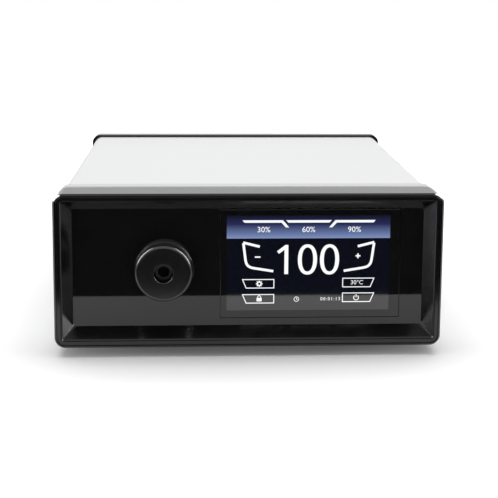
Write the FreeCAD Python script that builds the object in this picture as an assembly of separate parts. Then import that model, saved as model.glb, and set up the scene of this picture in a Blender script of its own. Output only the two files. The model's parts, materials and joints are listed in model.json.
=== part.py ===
import FreeCAD, Part
import math
import os

# Fiber optic illuminator: a desktop light source with a light guide port and a touch screen.
# Millimetres. +X is to the right seen from the front, the front faces -Y, +Z is up,
# and the origin is on the table under the middle of the case.

V = FreeCAD.Vector

# Case
WIDTH = 350.0
BODY_HEIGHT = 141.5
DEPTH = 380.0
FOOT_LIFT = 9.0
BEZEL_CORNER = 9.5
BEZEL_EDGE = 0.9
RIM_SIDE = 5.85
RIM_TOP = 6.25
RIM_CORNER = 2.8
FRONT_BAND = 31.0
FRONT_TAPER = 8.5
TAPER_DROP = 0.9
FRONT_REBATE = 25.0
REAR_BAND = 15.0
REAR_LIP = 10.0
BOSS = 12.0
COVER_STEP = 3.0
COVER_WALL = 1.5
COVER_CORNER = 9.0
SHEET = 1.5
SEAT_GAP = 0.3

# Recessed front
RECESS = 14.0
INSET_SETBACK = 0.8
INSET_GAP = 0.2
INSET_EDGE = 0.9
INSET_LIP = 2.5
INSET_WALL = 2.0
MITRE_GAP = 0.1
SLOPE_SIDE = 9.65
SLOPE_TOP = 10.0
PANEL_CORNER = 3.6
PANEL_HIDDEN = 6.0
PANEL_THICK = 3.0

# Display
SCREEN_MARGIN_SHARE = 0.134
SCREEN_RISE = 3.45
GLASS_WIDTH = 164.6
GLASS_HEIGHT = 102.5
GLASS_CORNER = 1.5
GLASS_THICK = 1.8
GLASS_GAP = 0.2
LCD_INSET = 1.2
LCD_THICK = 5.0
DISPLAY_FRAME_MARGIN = 9.5
DISPLAY_FRAME_BAR = 20.0
DISPLAY_FRAME_THICK = 1.2
DISPLAY_POST_R = 3.0
DISPLAY_SPACER_R = 2.2
DISPLAY_SPACER_INSET = 8.0
DISPLAY_SPACER_LENGTH = 4.0
BOARD_THICK = 1.6

# Light guide port
PORT_MARGIN_SHARE = 0.535
PORT_DROP = 2.2
KNOB_R = 26.0
KNOB_EDGE = 2.3
KNOB_BACK_EDGE = 0.6
FLANGE_MARGIN = 0.8
FLANGE_THICK = 2.0
FUNNEL_R = 8.75
FUNNEL_STEP_R = 7.2
FUNNEL_DEPTH = 5.0
HUB_R = 13.6
HUB_RUN = 0.05
BUSH_WALL = 3.4
BUSH_REACH = 5.0
NUT_R = 23.0
NUT_THICK = 3.5
SLEEVE_BORE_R = 4.75
SLEEVE_WALL = 2.0
SLEEVE_DEPTH = 6.5
SLEEVE_LEAD = 0.8
MOVE_GAP = 0.3

# Clamping jaws
JAWS = 3
JAW_WIDTH = 6.0
JAW_THICK = 4.4
JAW_TIP_R = 5.2
JAW_TAIL_R = 23.0
JAW_PIN_R = 1.5
JAW_PIN_AT = 18.0
JAW_TRAVEL = 2.7
JAW_TURN = 60.0
SLOT_GAP = 0.35
SLOT_STEPS = 14
CAM_R = 24.0
CAM_THICK = 3.0
CAM_SCREW_R = 1.0
CAM_SCREW_HEAD_R = 1.9
CAM_SCREW_HEAD = 1.2
CAM_SCREW_LENGTH = 6.0
CAM_SCREW_AT = 10.2
JAW_GUIDE_R = 30.0
JAW_GUIDE_THICK = 12.0

# Optics bench
BRACKET_HALF = 32.0
BRACKET_THICK = 3.0
BARREL_FRONT_GAP = 31.0
BARREL_LENGTH = 58.0
BARREL_R = 22.0
BARREL_WALL = 3.0
BARREL_FLANGE_R = 26.0
BARREL_FLANGE = 4.0
BARREL_SHOULDER = 2.0
BARREL_SHOULDER_LENGTH = 15.0
CRADLE_THICK = 6.0
CRADLE_AT_SHARE = 0.55
LENS_EDGE = 3.0
LENS_GAP = 0.1
CONDENSER_CROWN = 8.0
COLLIMATOR_CROWN = 5.0
SPACER_LENGTH = 20.0
SPACER_WALL = 1.8
RETAINER_LENGTH = 4.0

# Shutter behind the port
FLAP_HALF = 10.0
FLAP_THICK = 1.2
FLAP_BELOW = 10.0
HINGE_ABOVE = 13.0
HINGE_PIN_R = 1.5
HINGE_RUN = 0.05
KNUCKLE_R = 2.8
EAR_THICK = 3.0
EAR_HALF = 4.5
SPRING_WIDTH = 4.5
SPRING_R = 2.6
SPRING_WIRE = 0.8
SENSOR_THICK = 1.6
SENSOR_WIDTH = 5.0
SENSOR_HEIGHT = 7.0
MAGNET_R = 2.0
MAGNET_THICK = 1.0

# Light engine and its cooling
LED_BOARD_R = 27.0
LED_DOME_R = 5.5
LED_SEAT_R = 9.0
LED_SEAT_THICK = 1.2
SINK_WIDTH = 66.0
SINK_HEIGHT = 70.0
SINK_BASE = 8.0
SINK_FIN_DEPTH = 42.0
SINK_FINS = 12
SINK_FIN_THICK = 1.6
SINK_POST_R = 4.0
SINK_POST_SHARE = 0.34
LED_FAN_SIZE = 60.0
LED_FAN_DEPTH = 15.0
REAR_FAN_SIZE = 80.0
REAR_FAN_DEPTH = 25.0
FAN_WALL = 1.6
FAN_CORNER = 4.0
FAN_TIP_GAP = 1.0
FAN_HUB_SHARE = 0.42
FAN_CARRIER = 2.5
FAN_SPOKES = 4
FAN_SPOKE = 3.0
FAN_BLADES = 7
FAN_BLADE_THICK = 1.2
FAN_BLADE_CHORD_SHARE = 0.75
FAN_BLADE_PITCH = 38.0
FAN_AXLE_R = 1.5
FAN_RUN = 0.05
FAN_HOLE_R = 2.2
FAN_HOLE_INSET = 4.2
DUCT_WALL = 1.0

# Boards and power supply
BOARD_LIFT = 6.0
STANDOFF_R = 3.0
STANDOFF_INSET = 5.0
BOARDS_ACROSS_SHARE = 0.364
MAIN_BOARD_BEHIND = 55.0
MAIN_BOARD_WIDTH = 170.0
MAIN_BOARD_DEPTH = 100.0
DRIVER_BOARD_SIDE_GAP = 5.7
DRIVER_BOARD_BEHIND = 24.0
DRIVER_BOARD_WIDTH = 46.0
DRIVER_BOARD_DEPTH = 110.0
SUPPLY_BOARD_BEFORE = 60.0
SUPPLY_BOARD_WIDTH = 150.0
SUPPLY_BOARD_DEPTH = 92.0
CHIP_HEIGHT = 3.0
CHIP_SIZE = 14.0
CONNECTOR_HEIGHT = 9.0
CONNECTOR_WIDTH = 24.0
CONNECTOR_DEPTH = 6.0
CAPACITOR_R = 7.0
CAPACITOR_HEIGHT = 24.0
LOW_CAPACITOR_HEIGHT = 15.5
TRANSFORMER_SIZE = 34.0
TRANSFORMER_HEIGHT = 28.0
CHOKE_R = 9.0
CHOKE_HEIGHT = 15.0
CAGE_HEIGHT = 42.0
CAGE_WALL = 1.0
CAGE_MARGIN = 3.0
CAGE_HOLE_R = 2.5
CAGE_HOLE_PITCH = 9.0
RIBBON_WIDTH = 26.0
RIBBON_THICK = 0.8
RIBBON_DROP_SHARE = 0.3

# Tray, cover and rear
TRAY_FLANGE = 18.0
UPRIGHT_WIDTH = 13.0
VENT_SLOTS = 9
VENT_SLOT_WIDTH = 3.2
VENT_SLOT_LENGTH = 42.0
VENT_PITCH = 8.0
VENT_BEHIND = 44.0
FOOT_R = 11.0
FOOT_TIP_R = 9.5
FOOT_INSET_X = 34.0
FOOT_INSET_Y = 53.0
FOOT_HOLE_R = 4.2
FOOT_HOLE_DEPTH = 6.0
SCREW_R = 1.5
SCREW_GAP = 0.05
SCREW_HEAD_R = 2.9
SCREW_HEAD = 2.0
SCREW_LENGTH = 8.0
SCREW_SOCKET_SHARE = 0.5
COVER_SCREW_RISE = 13.0
COVER_SCREW_INSET = 40.0
COVER_SCREWS_A_SIDE = 3
FAN_SCREW_R = 1.9
FAN_SCREW_HEAD_R = 3.6
GUARD_WIRE = 1.6
GUARD_RINGS = 4
GUARD_INNER_SHARE = 0.28
GUARD_TAB_R = 4.4

# Mains inlet
INLET_FROM_SIDE = 53.0
INLET_RISE = 0.0
INLET_FLANGE_WIDTH = 38.0
INLET_FLANGE_THICK = 3.0
INLET_FLANGE_MARGIN = 4.0
INLET_WALL = 3.0
INLET_DEPTH = 30.0
INLET_CORNER = 3.0
SOCKET_WIDTH = 24.6
SOCKET_HEIGHT = 16.8
SOCKET_DEPTH = 17.0
SOCKET_CORNER = 3.0
PIN_WIDTH = 2.0
PIN_HEIGHT = 4.0
PIN_SPACING = 14.0
PIN_LENGTH = 14.0
PIN_RISE = 4.0
DRAWER_WIDTH = 22.0
DRAWER_HEIGHT = 9.0
DRAWER_DEPTH = 24.0
DRAWER_FACE = 1.6
DRAWER_FACE_MARGIN = 1.2
DRAWER_GAP = 0.3
DRAWER_WALL = 1.0
FUSE_R = 2.5
FUSE_LENGTH = 20.0
FUSE_SPACING = 8.0
FUSE_GAP = 0.1
ROCKER_WIDTH = 14.0
ROCKER_HEIGHT = 21.0
ROCKER_THICK = 7.0
ROCKER_DISH = 1.6
ROCKER_TILT = 9.0
ROCKER_SIDE_GAP = 0.5
ROCKER_END_GAP = 1.6
ROCKER_DEPTH = 14.0
ROCKER_PROUD = 0.5
TRUNNION_R = 1.5
TRUNNION_REACH = 1.6
TRUNNION_RUN = 0.05

# Other sockets at the rear
STUD_FROM_INLET = 48.0
STUD_RISE = -30.0
STUD_R = 3.0
STUD_OUT = 9.0
STUD_IN = 10.0
STUD_NUT_R = 6.0
STUD_NUT_THICK = 2.6
DATA_FROM_INLET = 82.0
DATA_RISE = -30.0
DATA_WIDTH = 12.0
DATA_HEIGHT = 10.8
DATA_DEPTH = 16.0
DATA_PROUD = 1.0
DATA_WALL = 0.8
DATA_TONGUE_WIDTH = 5.4
DATA_TONGUE_HEIGHT = 3.2
DATA_TONGUE_DEPTH = 9.0
JACK_FROM_INLET = 112.0
JACK_RISE = -30.0
JACK_BORE_R = 3.2
JACK_WALL = 1.8
JACK_OUT = 3.0
JACK_DEPTH = 20.0
JACK_NUT_R = 7.5
JACK_NUT_THICK = 2.0

OVERRUN = 1.0
TOLERANCE = 0.001

# Places that several pieces share
FRONT = -DEPTH / 2
REAR = DEPTH / 2
BODY_TOP = FOOT_LIFT + BODY_HEIGHT
MID_Z = FOOT_LIFT + BODY_HEIGHT / 2
OPENING_WIDTH = WIDTH - 2 * RIM_SIDE
OPENING_HEIGHT = BODY_HEIGHT - 2 * RIM_TOP
COVER_WIDTH = WIDTH - 2 * COVER_STEP
COVER_HEIGHT = BODY_HEIGHT - 2 * COVER_STEP
COVER_BOTTOM = FOOT_LIFT + COVER_STEP
REBATE_Y = FRONT + FRONT_REBATE
BEZEL_BACK = FRONT + FRONT_BAND + FRONT_TAPER
LIP_Y = REAR - REAR_LIP
REAR_EDGE = REAR - REAR_BAND
PANEL_Y = FRONT + RECESS
PANEL_BACK = PANEL_Y + PANEL_THICK
PANEL_SEEN_WIDTH = OPENING_WIDTH - 2 * SLOPE_SIDE
PANEL_SEEN_HEIGHT = OPENING_HEIGHT - 2 * SLOPE_TOP
PANEL_WIDTH = PANEL_SEEN_WIDTH + 2 * PANEL_HIDDEN
PANEL_HEIGHT = PANEL_SEEN_HEIGHT + 2 * PANEL_HIDDEN
PANEL_SPARE = PANEL_SEEN_WIDTH - GLASS_WIDTH
SCREEN_X = PANEL_SEEN_WIDTH / 2 - PANEL_SPARE * SCREEN_MARGIN_SHARE - GLASS_WIDTH / 2
SCREEN_Z = MID_Z + SCREEN_RISE
GLASS_BACK = PANEL_Y + GLASS_THICK
LCD_BACK = GLASS_BACK + LCD_THICK
DISPLAY_FRAME_BACK = LCD_BACK + DISPLAY_FRAME_THICK
DISPLAY_BOARD_Y = DISPLAY_FRAME_BACK + DISPLAY_SPACER_LENGTH
PORT_X = -PANEL_SEEN_WIDTH / 2 + PANEL_SPARE * PORT_MARGIN_SHARE
PORT_Z = MID_Z - PORT_DROP
BUSH_R = HUB_R + HUB_RUN + BUSH_WALL
BUSH_END = PANEL_BACK + BUSH_REACH
CAM_Y = BUSH_END + MOVE_GAP
GUIDE_Y = CAM_Y + CAM_THICK + MOVE_GAP
BENCH_Y = GUIDE_Y + JAW_GUIDE_THICK
BENCH_BACK = BENCH_Y + BRACKET_THICK
SLEEVE_R = SLEEVE_BORE_R + SLEEVE_WALL
BORE_R = SLEEVE_R + MOVE_GAP
FLOOR_Z = COVER_BOTTOM + SHEET
COVER_SCREW_Z = FLOOR_Z + COVER_SCREW_RISE
TRAY_HALF = COVER_WIDTH / 2 - COVER_WALL - SEAT_GAP
BARREL_Y = BENCH_BACK + BARREL_FRONT_GAP
BARREL_BACK = BARREL_Y + BARREL_LENGTH
SINK_Y = BARREL_BACK + BOARD_THICK
FIN_END = SINK_Y + SINK_BASE + SINK_FIN_DEPTH
REAR_FAN_Y = LIP_Y - SHEET - REAR_FAN_DEPTH
HINGE_Y = BENCH_BACK + MOVE_GAP + SENSOR_THICK + MOVE_GAP + KNUCKLE_R
HINGE_Z = PORT_Z + HINGE_ABOVE
BOARDS_X = TRAY_HALF * BOARDS_ACROSS_SHARE
MAIN_BOARD_Y = FRONT + MAIN_BOARD_BEHIND + MAIN_BOARD_DEPTH / 2
DRIVER_BOARD_X = -TRAY_HALF + SHEET + DRIVER_BOARD_SIDE_GAP + DRIVER_BOARD_WIDTH / 2
DRIVER_BOARD_Y = SINK_Y + DRIVER_BOARD_BEHIND + DRIVER_BOARD_DEPTH / 2
SUPPLY_BOARD_Y = REAR - SUPPLY_BOARD_BEFORE - SUPPLY_BOARD_DEPTH / 2
INLET_X = WIDTH / 2 - INLET_FROM_SIDE
STUD_X = INLET_X - STUD_FROM_INLET
DATA_X = INLET_X - DATA_FROM_INLET
JACK_X = INLET_X - JACK_FROM_INLET
BOARD_Z = FLOOR_Z + BOARD_LIFT
BOARD_TOP = BOARD_Z + BOARD_THICK
SCREW_HOLE_R = SCREW_R + SCREW_GAP
ROCKER_OPENING = ROCKER_HEIGHT + 2 * ROCKER_END_GAP
DRAWER_OPENING = DRAWER_HEIGHT + 2 * DRAWER_GAP
INLET_BODY_HEIGHT = ROCKER_OPENING + SOCKET_HEIGHT + DRAWER_OPENING + 4 * INLET_WALL
INLET_BODY_WIDTH = SOCKET_WIDTH + 2 * INLET_WALL
INLET_Z = MID_Z + INLET_RISE
ROCKER_Z = INLET_Z + INLET_BODY_HEIGHT / 2 - INLET_WALL - ROCKER_OPENING / 2
SOCKET_Z = ROCKER_Z - ROCKER_OPENING / 2 - INLET_WALL - SOCKET_HEIGHT / 2
DRAWER_Z = SOCKET_Z - SOCKET_HEIGHT / 2 - INLET_WALL - DRAWER_OPENING / 2
INLET_FACE = LIP_Y + INLET_FLANGE_THICK
INLET_BACK = LIP_Y - INLET_DEPTH
ROCKER_Y = INLET_FACE + ROCKER_PROUD - ROCKER_THICK / 2


def block(x0, x1, y0, y1, z0, z1):
    return Part.makeBox(x1 - x0, y1 - y0, z1 - z0, V(x0, y0, z0))


def rod_x(y, z, radius, x0, x1):
    return Part.makeCylinder(radius, x1 - x0, V(x0, y, z), V(1, 0, 0))


def rod_y(x, z, radius, y0, y1):
    return Part.makeCylinder(radius, y1 - y0, V(x, y0, z), V(0, 1, 0))


def rod_z(x, y, radius, z0, z1):
    return Part.makeCylinder(radius, z1 - z0, V(x, y, z0), V(0, 0, 1))


def cone_y(x, z, radius0, radius1, y0, y1):
    return Part.makeCone(radius0, radius1, y1 - y0, V(x, y0, z), V(0, 1, 0))


def ring_y(x, z, outer, inner, y0, y1):
    return rod_y(x, z, outer, y0, y1).cut(rod_y(x, z, inner, y0 - OVERRUN, y1 + OVERRUN))


def slanted_bar(x, z, angle, r0, r1, width, y0, y1):
    # A bar that runs out from a point at an angle.
    bar = block(r0, r1, y0, y1, -width / 2, width / 2)
    bar.rotate(V(0, 0, 0), V(0, 1, 0), -angle)
    bar.translate(V(x, 0, z))
    return bar


def polygon_y(points, y0, y1):
    corners = [V(x, y0, z) for x, z in points]
    outline = Part.makePolygon(corners + corners[:1])
    return Part.Face(outline).extrude(V(0, y1 - y0, 0))


def hexagon_y(x, z, radius, y0, y1):
    turns = [math.radians(60 * corner) for corner in range(6)]
    points = [(x + radius * math.cos(turn), z + radius * math.sin(turn)) for turn in turns]
    return polygon_y(points, y0, y1)


def rounded_outline(width, height, radius, y, x=0, z=MID_Z):
    # A rectangle with round corners, standing in the plane at y.
    outline = []
    half_x = width / 2 - radius
    half_z = height / 2 - radius
    quarter_turns = ((1, 1, 0), (-1, 1, 90), (-1, -1, 180), (1, -1, 270))
    ends = []
    for side_x, side_z, start in quarter_turns:
        middle = V(x + side_x * half_x, y, z + side_z * half_z)
        points = []
        for angle in (start, start + 45, start + 90):
            turn = math.radians(angle)
            points.append(middle + V(radius * math.cos(turn), 0, radius * math.sin(turn)))
        ends.append(points)
    for index, points in enumerate(ends):
        following = ends[(index + 1) % len(ends)]
        outline.append(Part.Arc(*points).toShape())
        outline.append(Part.LineSegment(points[-1], following[0]).toShape())
    return Part.Wire(outline)


def rounded_slab(width, height, radius, y0, y1, x=0, z=MID_Z):
    outline = rounded_outline(width, height, radius, y0, x, z)
    return Part.Face(outline).extrude(V(0, y1 - y0, 0))


def rounded_taper(size0, size1, y0, y1):
    # Each size is a width, a height and a corner radius.
    first = rounded_outline(*size0, y0)
    last = rounded_outline(*size1, y1)
    return Part.makeLoft([first, last], True, True)


def edges_at(shape, y):
    return [edge for edge in shape.Edges if all(abs(end.Y - y) < TOLERANCE for end in edge.Vertexes)]


def joined(first, *others):
    return first.fuse(list(others)).removeSplitter()


def single(shape):
    return shape.Solids[0] if len(shape.Solids) == 1 else Part.makeCompound(shape.Solids)


def corners_of(half_x, half_z, x=0, z=MID_Z):
    return [(x + side_x * half_x, z + side_z * half_z) for side_x in (-1, 1) for side_z in (-1, 1)]


def screw_y(x, z, y_seat, length, radius, head_r, head, outward=1):
    # Button head screw along Y: the head stands outward of its seat and has a hexagon socket.
    y_head = y_seat + outward * head
    y_end = y_seat - outward * length
    shank = rod_y(x, z, radius, min(y_seat, y_end), max(y_seat, y_end))
    cap = rod_y(x, z, head_r, min(y_seat, y_head), max(y_seat, y_head))
    cap = cap.makeFillet(head * SCREW_SOCKET_SHARE, edges_at(cap, y_head))
    y_floor = y_head - outward * head * SCREW_SOCKET_SHARE
    socket = hexagon_y(x, z, radius * SCREW_SOCKET_SHARE * 2, min(y_floor, y_head), max(y_floor, y_head))
    return joined(shank, cap).cut(socket)


# Case pieces
def boss_places():
    half_x = OPENING_WIDTH / 2 - BOSS / 2
    half_z = OPENING_HEIGHT / 2 - BOSS / 2
    return corners_of(half_x, half_z)


def corner_boss(x, z, y0, y1):
    # The boss reaches into the rim behind it, so that the two are one moulding.
    grow_x = RIM_SIDE / 2 * math.copysign(1, x)
    grow_z = RIM_TOP / 2 * math.copysign(1, z - MID_Z)
    x_ends = sorted((x - math.copysign(BOSS / 2, x), x + math.copysign(BOSS / 2, x) + grow_x))
    z_side = math.copysign(BOSS / 2, z - MID_Z)
    z_ends = sorted((z - z_side, z + z_side + grow_z))
    return block(x_ends[0], x_ends[1], y0, y1, z_ends[0], z_ends[1])


def front_bezel():
    full = (WIDTH, BODY_HEIGHT, BEZEL_CORNER)
    end = (WIDTH - 2 * TAPER_DROP, BODY_HEIGHT - 2 * TAPER_DROP, BEZEL_CORNER - TAPER_DROP)
    band = rounded_slab(*full, FRONT, FRONT + FRONT_BAND)
    taper = rounded_taper(full, end, FRONT + FRONT_BAND, BEZEL_BACK)
    opening = rounded_slab(OPENING_WIDTH, OPENING_HEIGHT, RIM_CORNER, FRONT - OVERRUN, BEZEL_BACK + OVERRUN)
    rebate_width = COVER_WIDTH + 2 * SEAT_GAP
    rebate_height = COVER_HEIGHT + 2 * SEAT_GAP
    rebate_corner = COVER_CORNER + SEAT_GAP
    rebate = rounded_slab(rebate_width, rebate_height, rebate_corner, REBATE_Y, BEZEL_BACK + OVERRUN)
    body = joined(band, taper).cut(opening)
    body = body.makeFillet(BEZEL_EDGE, edges_at(body, FRONT)).cut(rebate)
    bosses = [corner_boss(x, z, PANEL_BACK, REBATE_Y) for x, z in boss_places()]
    body = joined(body, *bosses)
    holes = [rod_y(x, z, SCREW_HOLE_R, PANEL_BACK + OVERRUN, REBATE_Y + OVERRUN) for x, z in boss_places()]
    return body.cut(holes)


def inset_frame():
    start = FRONT + INSET_SETBACK
    lip = start + INSET_LIP
    outer = (OPENING_WIDTH - 2 * INSET_GAP, OPENING_HEIGHT - 2 * INSET_GAP, RIM_CORNER - INSET_GAP)
    mouth = (outer[0] - 2 * INSET_EDGE, outer[1] - 2 * INSET_EDGE, outer[2] - INSET_EDGE)
    seen = (PANEL_SEEN_WIDTH, PANEL_SEEN_HEIGHT, PANEL_CORNER)
    back = (PANEL_SEEN_WIDTH + 2 * INSET_WALL, PANEL_SEEN_HEIGHT + 2 * INSET_WALL, PANEL_CORNER + INSET_WALL)
    edge = rounded_slab(*outer, start, lip)
    skirt = rounded_taper(outer, back, lip, PANEL_Y)
    hollow = rounded_taper(mouth, seen, start, PANEL_Y)
    # Four strips that meet on mitres at the corners.
    mitres = []
    reach = math.hypot(SLOPE_SIDE, SLOPE_TOP)
    for side in (-1, 1):
        for rise in (-1, 1):
            angle = math.degrees(math.atan2(rise * SLOPE_TOP, side * SLOPE_SIDE))
            x = side * PANEL_SEEN_WIDTH / 2
            z = MID_Z + rise * PANEL_SEEN_HEIGHT / 2
            y_ends = (start - OVERRUN, PANEL_Y + OVERRUN)
            mitres.append(slanted_bar(x, z, angle, -PANEL_CORNER, reach, MITRE_GAP, *y_ends))
    return joined(edge, skirt).cut([hollow] + mitres)


def front_panel():
    plate = rounded_slab(PANEL_WIDTH, PANEL_HEIGHT, PANEL_CORNER, PANEL_Y, PANEL_BACK)
    port = rod_y(PORT_X, PORT_Z, BUSH_R + GLASS_GAP, PANEL_Y - OVERRUN, PANEL_BACK + OVERRUN)
    width = GLASS_WIDTH + 2 * GLASS_GAP
    height = GLASS_HEIGHT + 2 * GLASS_GAP
    window = rounded_slab(
        width, height, GLASS_CORNER, PANEL_Y - OVERRUN, PANEL_BACK + OVERRUN, SCREEN_X, SCREEN_Z)
    return plate.cut([port, window])


def rear_bezel():
    full = (WIDTH, BODY_HEIGHT, BEZEL_CORNER)
    band = rounded_slab(*full, REAR_EDGE, REAR)
    opening = rounded_slab(OPENING_WIDTH, OPENING_HEIGHT, RIM_CORNER, REAR_EDGE - OVERRUN, REAR + OVERRUN)
    band = band.cut(opening)
    band = band.makeFillet(BEZEL_EDGE, edges_at(band, REAR))
    rebate_width = COVER_WIDTH + 2 * SEAT_GAP
    rebate_height = COVER_HEIGHT + 2 * SEAT_GAP
    rebate_corner = COVER_CORNER + SEAT_GAP
    rebate = rounded_slab(rebate_width, rebate_height, rebate_corner, REAR_EDGE - OVERRUN, LIP_Y)
    band = band.cut(rebate)
    bosses = [corner_boss(x, z, LIP_Y, LIP_Y + SHEET * 2) for x, z in boss_places()]
    band = joined(band, *bosses)
    holes = [rod_y(x, z, SCREW_HOLE_R, LIP_Y - OVERRUN, REAR) for x, z in boss_places()]
    return band.cut(holes)


def cover_screw_places():
    first = REBATE_Y + COVER_SCREW_INSET
    last = LIP_Y - COVER_SCREW_INSET
    step = (last - first) / (COVER_SCREWS_A_SIDE - 1)
    return [first + step * index for index in range(COVER_SCREWS_A_SIDE)]


def top_cover():
    # Folded sheet: the top and both sides, which end above the tray's round lower corners.
    start = REBATE_Y + SEAT_GAP
    end = LIP_Y - SHEET - SEAT_GAP
    outer = rounded_slab(COVER_WIDTH, COVER_HEIGHT, COVER_CORNER, start, end)
    inner_width = COVER_WIDTH - 2 * COVER_WALL
    inner_height = COVER_HEIGHT - 2 * COVER_WALL
    inner_corner = COVER_CORNER - COVER_WALL
    inner = rounded_slab(inner_width, inner_height, inner_corner, start - OVERRUN, end + OVERRUN)
    mouth = block(-WIDTH / 2, WIDTH / 2, start - OVERRUN, end + OVERRUN, 0, COVER_BOTTOM + COVER_CORNER)
    holes = [rod_x(y, COVER_SCREW_Z, SCREW_HOLE_R, -WIDTH, WIDTH) for y in cover_screw_places()]
    return outer.cut([inner, mouth] + holes)


def vent_slots():
    slots = []
    for index in range(VENT_SLOTS):
        y = SINK_Y + VENT_BEHIND + VENT_PITCH * (index - (VENT_SLOTS - 1) / 2)
        x0 = PORT_X - VENT_SLOT_LENGTH / 2
        x1 = PORT_X + VENT_SLOT_LENGTH / 2
        y0 = y - VENT_SLOT_WIDTH / 2
        y1 = y + VENT_SLOT_WIDTH / 2
        slots.append(block(x0, x1, y0, y1, COVER_BOTTOM - OVERRUN, FLOOR_Z + OVERRUN))
    return slots


def foot_places():
    x = WIDTH / 2 - FOOT_INSET_X
    y = DEPTH / 2 - FOOT_INSET_Y
    return [(side_x * x, side_y * y) for side_x in (-1, 1) for side_y in (-1, 1)]


def tray_slab(y0, y1, wall=0):
    # The space inside the cover, down to the tray's underside.
    width = 2 * TRAY_HALF
    height = COVER_HEIGHT - COVER_WALL - SEAT_GAP
    corner = COVER_CORNER - COVER_WALL - wall
    middle = COVER_BOTTOM + height / 2
    return rounded_slab(width - 2 * wall, height - 2 * wall, corner, y0, y1, 0, middle)


def base_tray():
    # Folded sheet: the floor, low side flanges, and uprights that carry both bezels.
    end = LIP_Y - SHEET
    open_top = block(-WIDTH, WIDTH, REBATE_Y, end, FLOOR_Z + TRAY_FLANGE, BODY_TOP)
    tray = tray_slab(REBATE_Y, end).cut([tray_slab(REBATE_Y - OVERRUN, end + OVERRUN, SHEET), open_top])
    gap_half = TRAY_HALF - UPRIGHT_WIDTH
    upright_top = BODY_TOP - RIM_TOP
    for y, low_top in ((REBATE_Y, FLOOR_Z), (end - SHEET, FLOOR_Z + TRAY_FLANGE / 2)):
        wall = tray_slab(y, y + SHEET)
        between = block(-gap_half, gap_half, y - OVERRUN, y + SHEET + OVERRUN, low_top, BODY_TOP)
        above = block(-WIDTH, WIDTH, y - OVERRUN, y + SHEET + OVERRUN, upright_top, BODY_TOP)
        tray = joined(tray, wall.cut([between, above]))
    holes = [rod_y(x, z, SCREW_HOLE_R, REBATE_Y - OVERRUN, end + OVERRUN) for x, z in boss_places()]
    holes += [rod_x(y, COVER_SCREW_Z, SCREW_HOLE_R, -WIDTH, WIDTH) for y in cover_screw_places()]
    holes += [rod_z(x, y, SCREW_HOLE_R, 0, FLOOR_Z + OVERRUN) for x, y in foot_places()]
    return tray.cut(holes + vent_slots())


def feet():
    pads = []
    for x, y in foot_places():
        pad = Part.makeCone(FOOT_TIP_R, FOOT_R, COVER_BOTTOM, V(x, y, 0), V(0, 0, 1))
        recess = rod_z(x, y, FOOT_HOLE_R, -OVERRUN, FOOT_HOLE_DEPTH)
        hole = rod_z(x, y, SCREW_HOLE_R, 0, COVER_BOTTOM + OVERRUN)
        pads.append(pad.cut([recess, hole]))
    return Part.makeCompound(pads)


def foot_screws():
    screws = []
    for x, y in foot_places():
        head = rod_z(x, y, SCREW_HEAD_R, FOOT_HOLE_DEPTH - SCREW_HEAD, FOOT_HOLE_DEPTH)
        shank = rod_z(x, y, SCREW_R, FOOT_HOLE_DEPTH, FLOOR_Z)
        nut = rod_z(x, y, SCREW_HEAD_R, FLOOR_Z, FLOOR_Z + SCREW_HEAD)
        screws.append(joined(head, shank, nut))
    return Part.makeCompound(screws)


def case_screws():
    # The same screw holds the cover's sides and both bezels.
    size = (SCREW_LENGTH, SCREW_R, SCREW_HEAD_R, SCREW_HEAD)
    screws = [screw_y(x, z, REBATE_Y + SHEET, *size) for x, z in boss_places()]
    screws += [screw_y(x, z, LIP_Y + 2 * SHEET, *size) for x, z in boss_places()]
    for side in (-1, 1):
        for y in cover_screw_places():
            screw = screw_y(0, 0, 0, *size)
            screw.rotate(V(0, 0, 0), V(0, 0, 1), -90 * side)
            screw.translate(V(side * COVER_WIDTH / 2, y, COVER_SCREW_Z))
            screws.append(screw)
    return Part.makeCompound(screws)


# Display pieces
def display_post_places():
    half_x = GLASS_WIDTH / 2 + DISPLAY_POST_R + SHEET
    half_z = GLASS_HEIGHT / 2 - DISPLAY_POST_R
    return corners_of(half_x, half_z, SCREEN_X, SCREEN_Z)


def touch_glass():
    return rounded_slab(GLASS_WIDTH, GLASS_HEIGHT, GLASS_CORNER, PANEL_Y, GLASS_BACK, SCREEN_X, SCREEN_Z)


def display_lcd():
    width = GLASS_WIDTH - 2 * LCD_INSET
    height = GLASS_HEIGHT - 2 * LCD_INSET
    return rounded_slab(width, height, GLASS_CORNER, GLASS_BACK, LCD_BACK, SCREEN_X, SCREEN_Z)


def display_spacer_places():
    half_x = GLASS_WIDTH / 2 - DISPLAY_SPACER_INSET
    half_z = GLASS_HEIGHT / 2 - DISPLAY_SPACER_INSET
    return corners_of(half_x, half_z, SCREEN_X, SCREEN_Z)


def display_frame():
    # Sheet frame that holds the display against the glass.
    width = GLASS_WIDTH + 2 * DISPLAY_FRAME_MARGIN
    back = DISPLAY_FRAME_BACK
    plate = rounded_slab(width, GLASS_HEIGHT, GLASS_CORNER, LCD_BACK, back, SCREEN_X, SCREEN_Z)
    open_width = GLASS_WIDTH - 2 * DISPLAY_FRAME_BAR
    open_height = GLASS_HEIGHT - 2 * DISPLAY_FRAME_BAR
    window = rounded_slab(
        open_width, open_height, GLASS_CORNER, LCD_BACK - OVERRUN, back + OVERRUN, SCREEN_X, SCREEN_Z)
    hole_r = DISPLAY_POST_R + SCREW_GAP
    holes = [rod_y(x, z, hole_r, LCD_BACK - OVERRUN, back + OVERRUN) for x, z in display_post_places()]
    return plate.cut(holes + [window])


def display_posts():
    # Posts from the panel through the frame, and spacers from the frame to the display board.
    posts = [rod_y(x, z, DISPLAY_POST_R, PANEL_BACK, DISPLAY_FRAME_BACK) for x, z in display_post_places()]
    for x, z in display_spacer_places():
        posts.append(rod_y(x, z, DISPLAY_SPACER_R, DISPLAY_FRAME_BACK, DISPLAY_BOARD_Y))
    return Part.makeCompound(posts)


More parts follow.
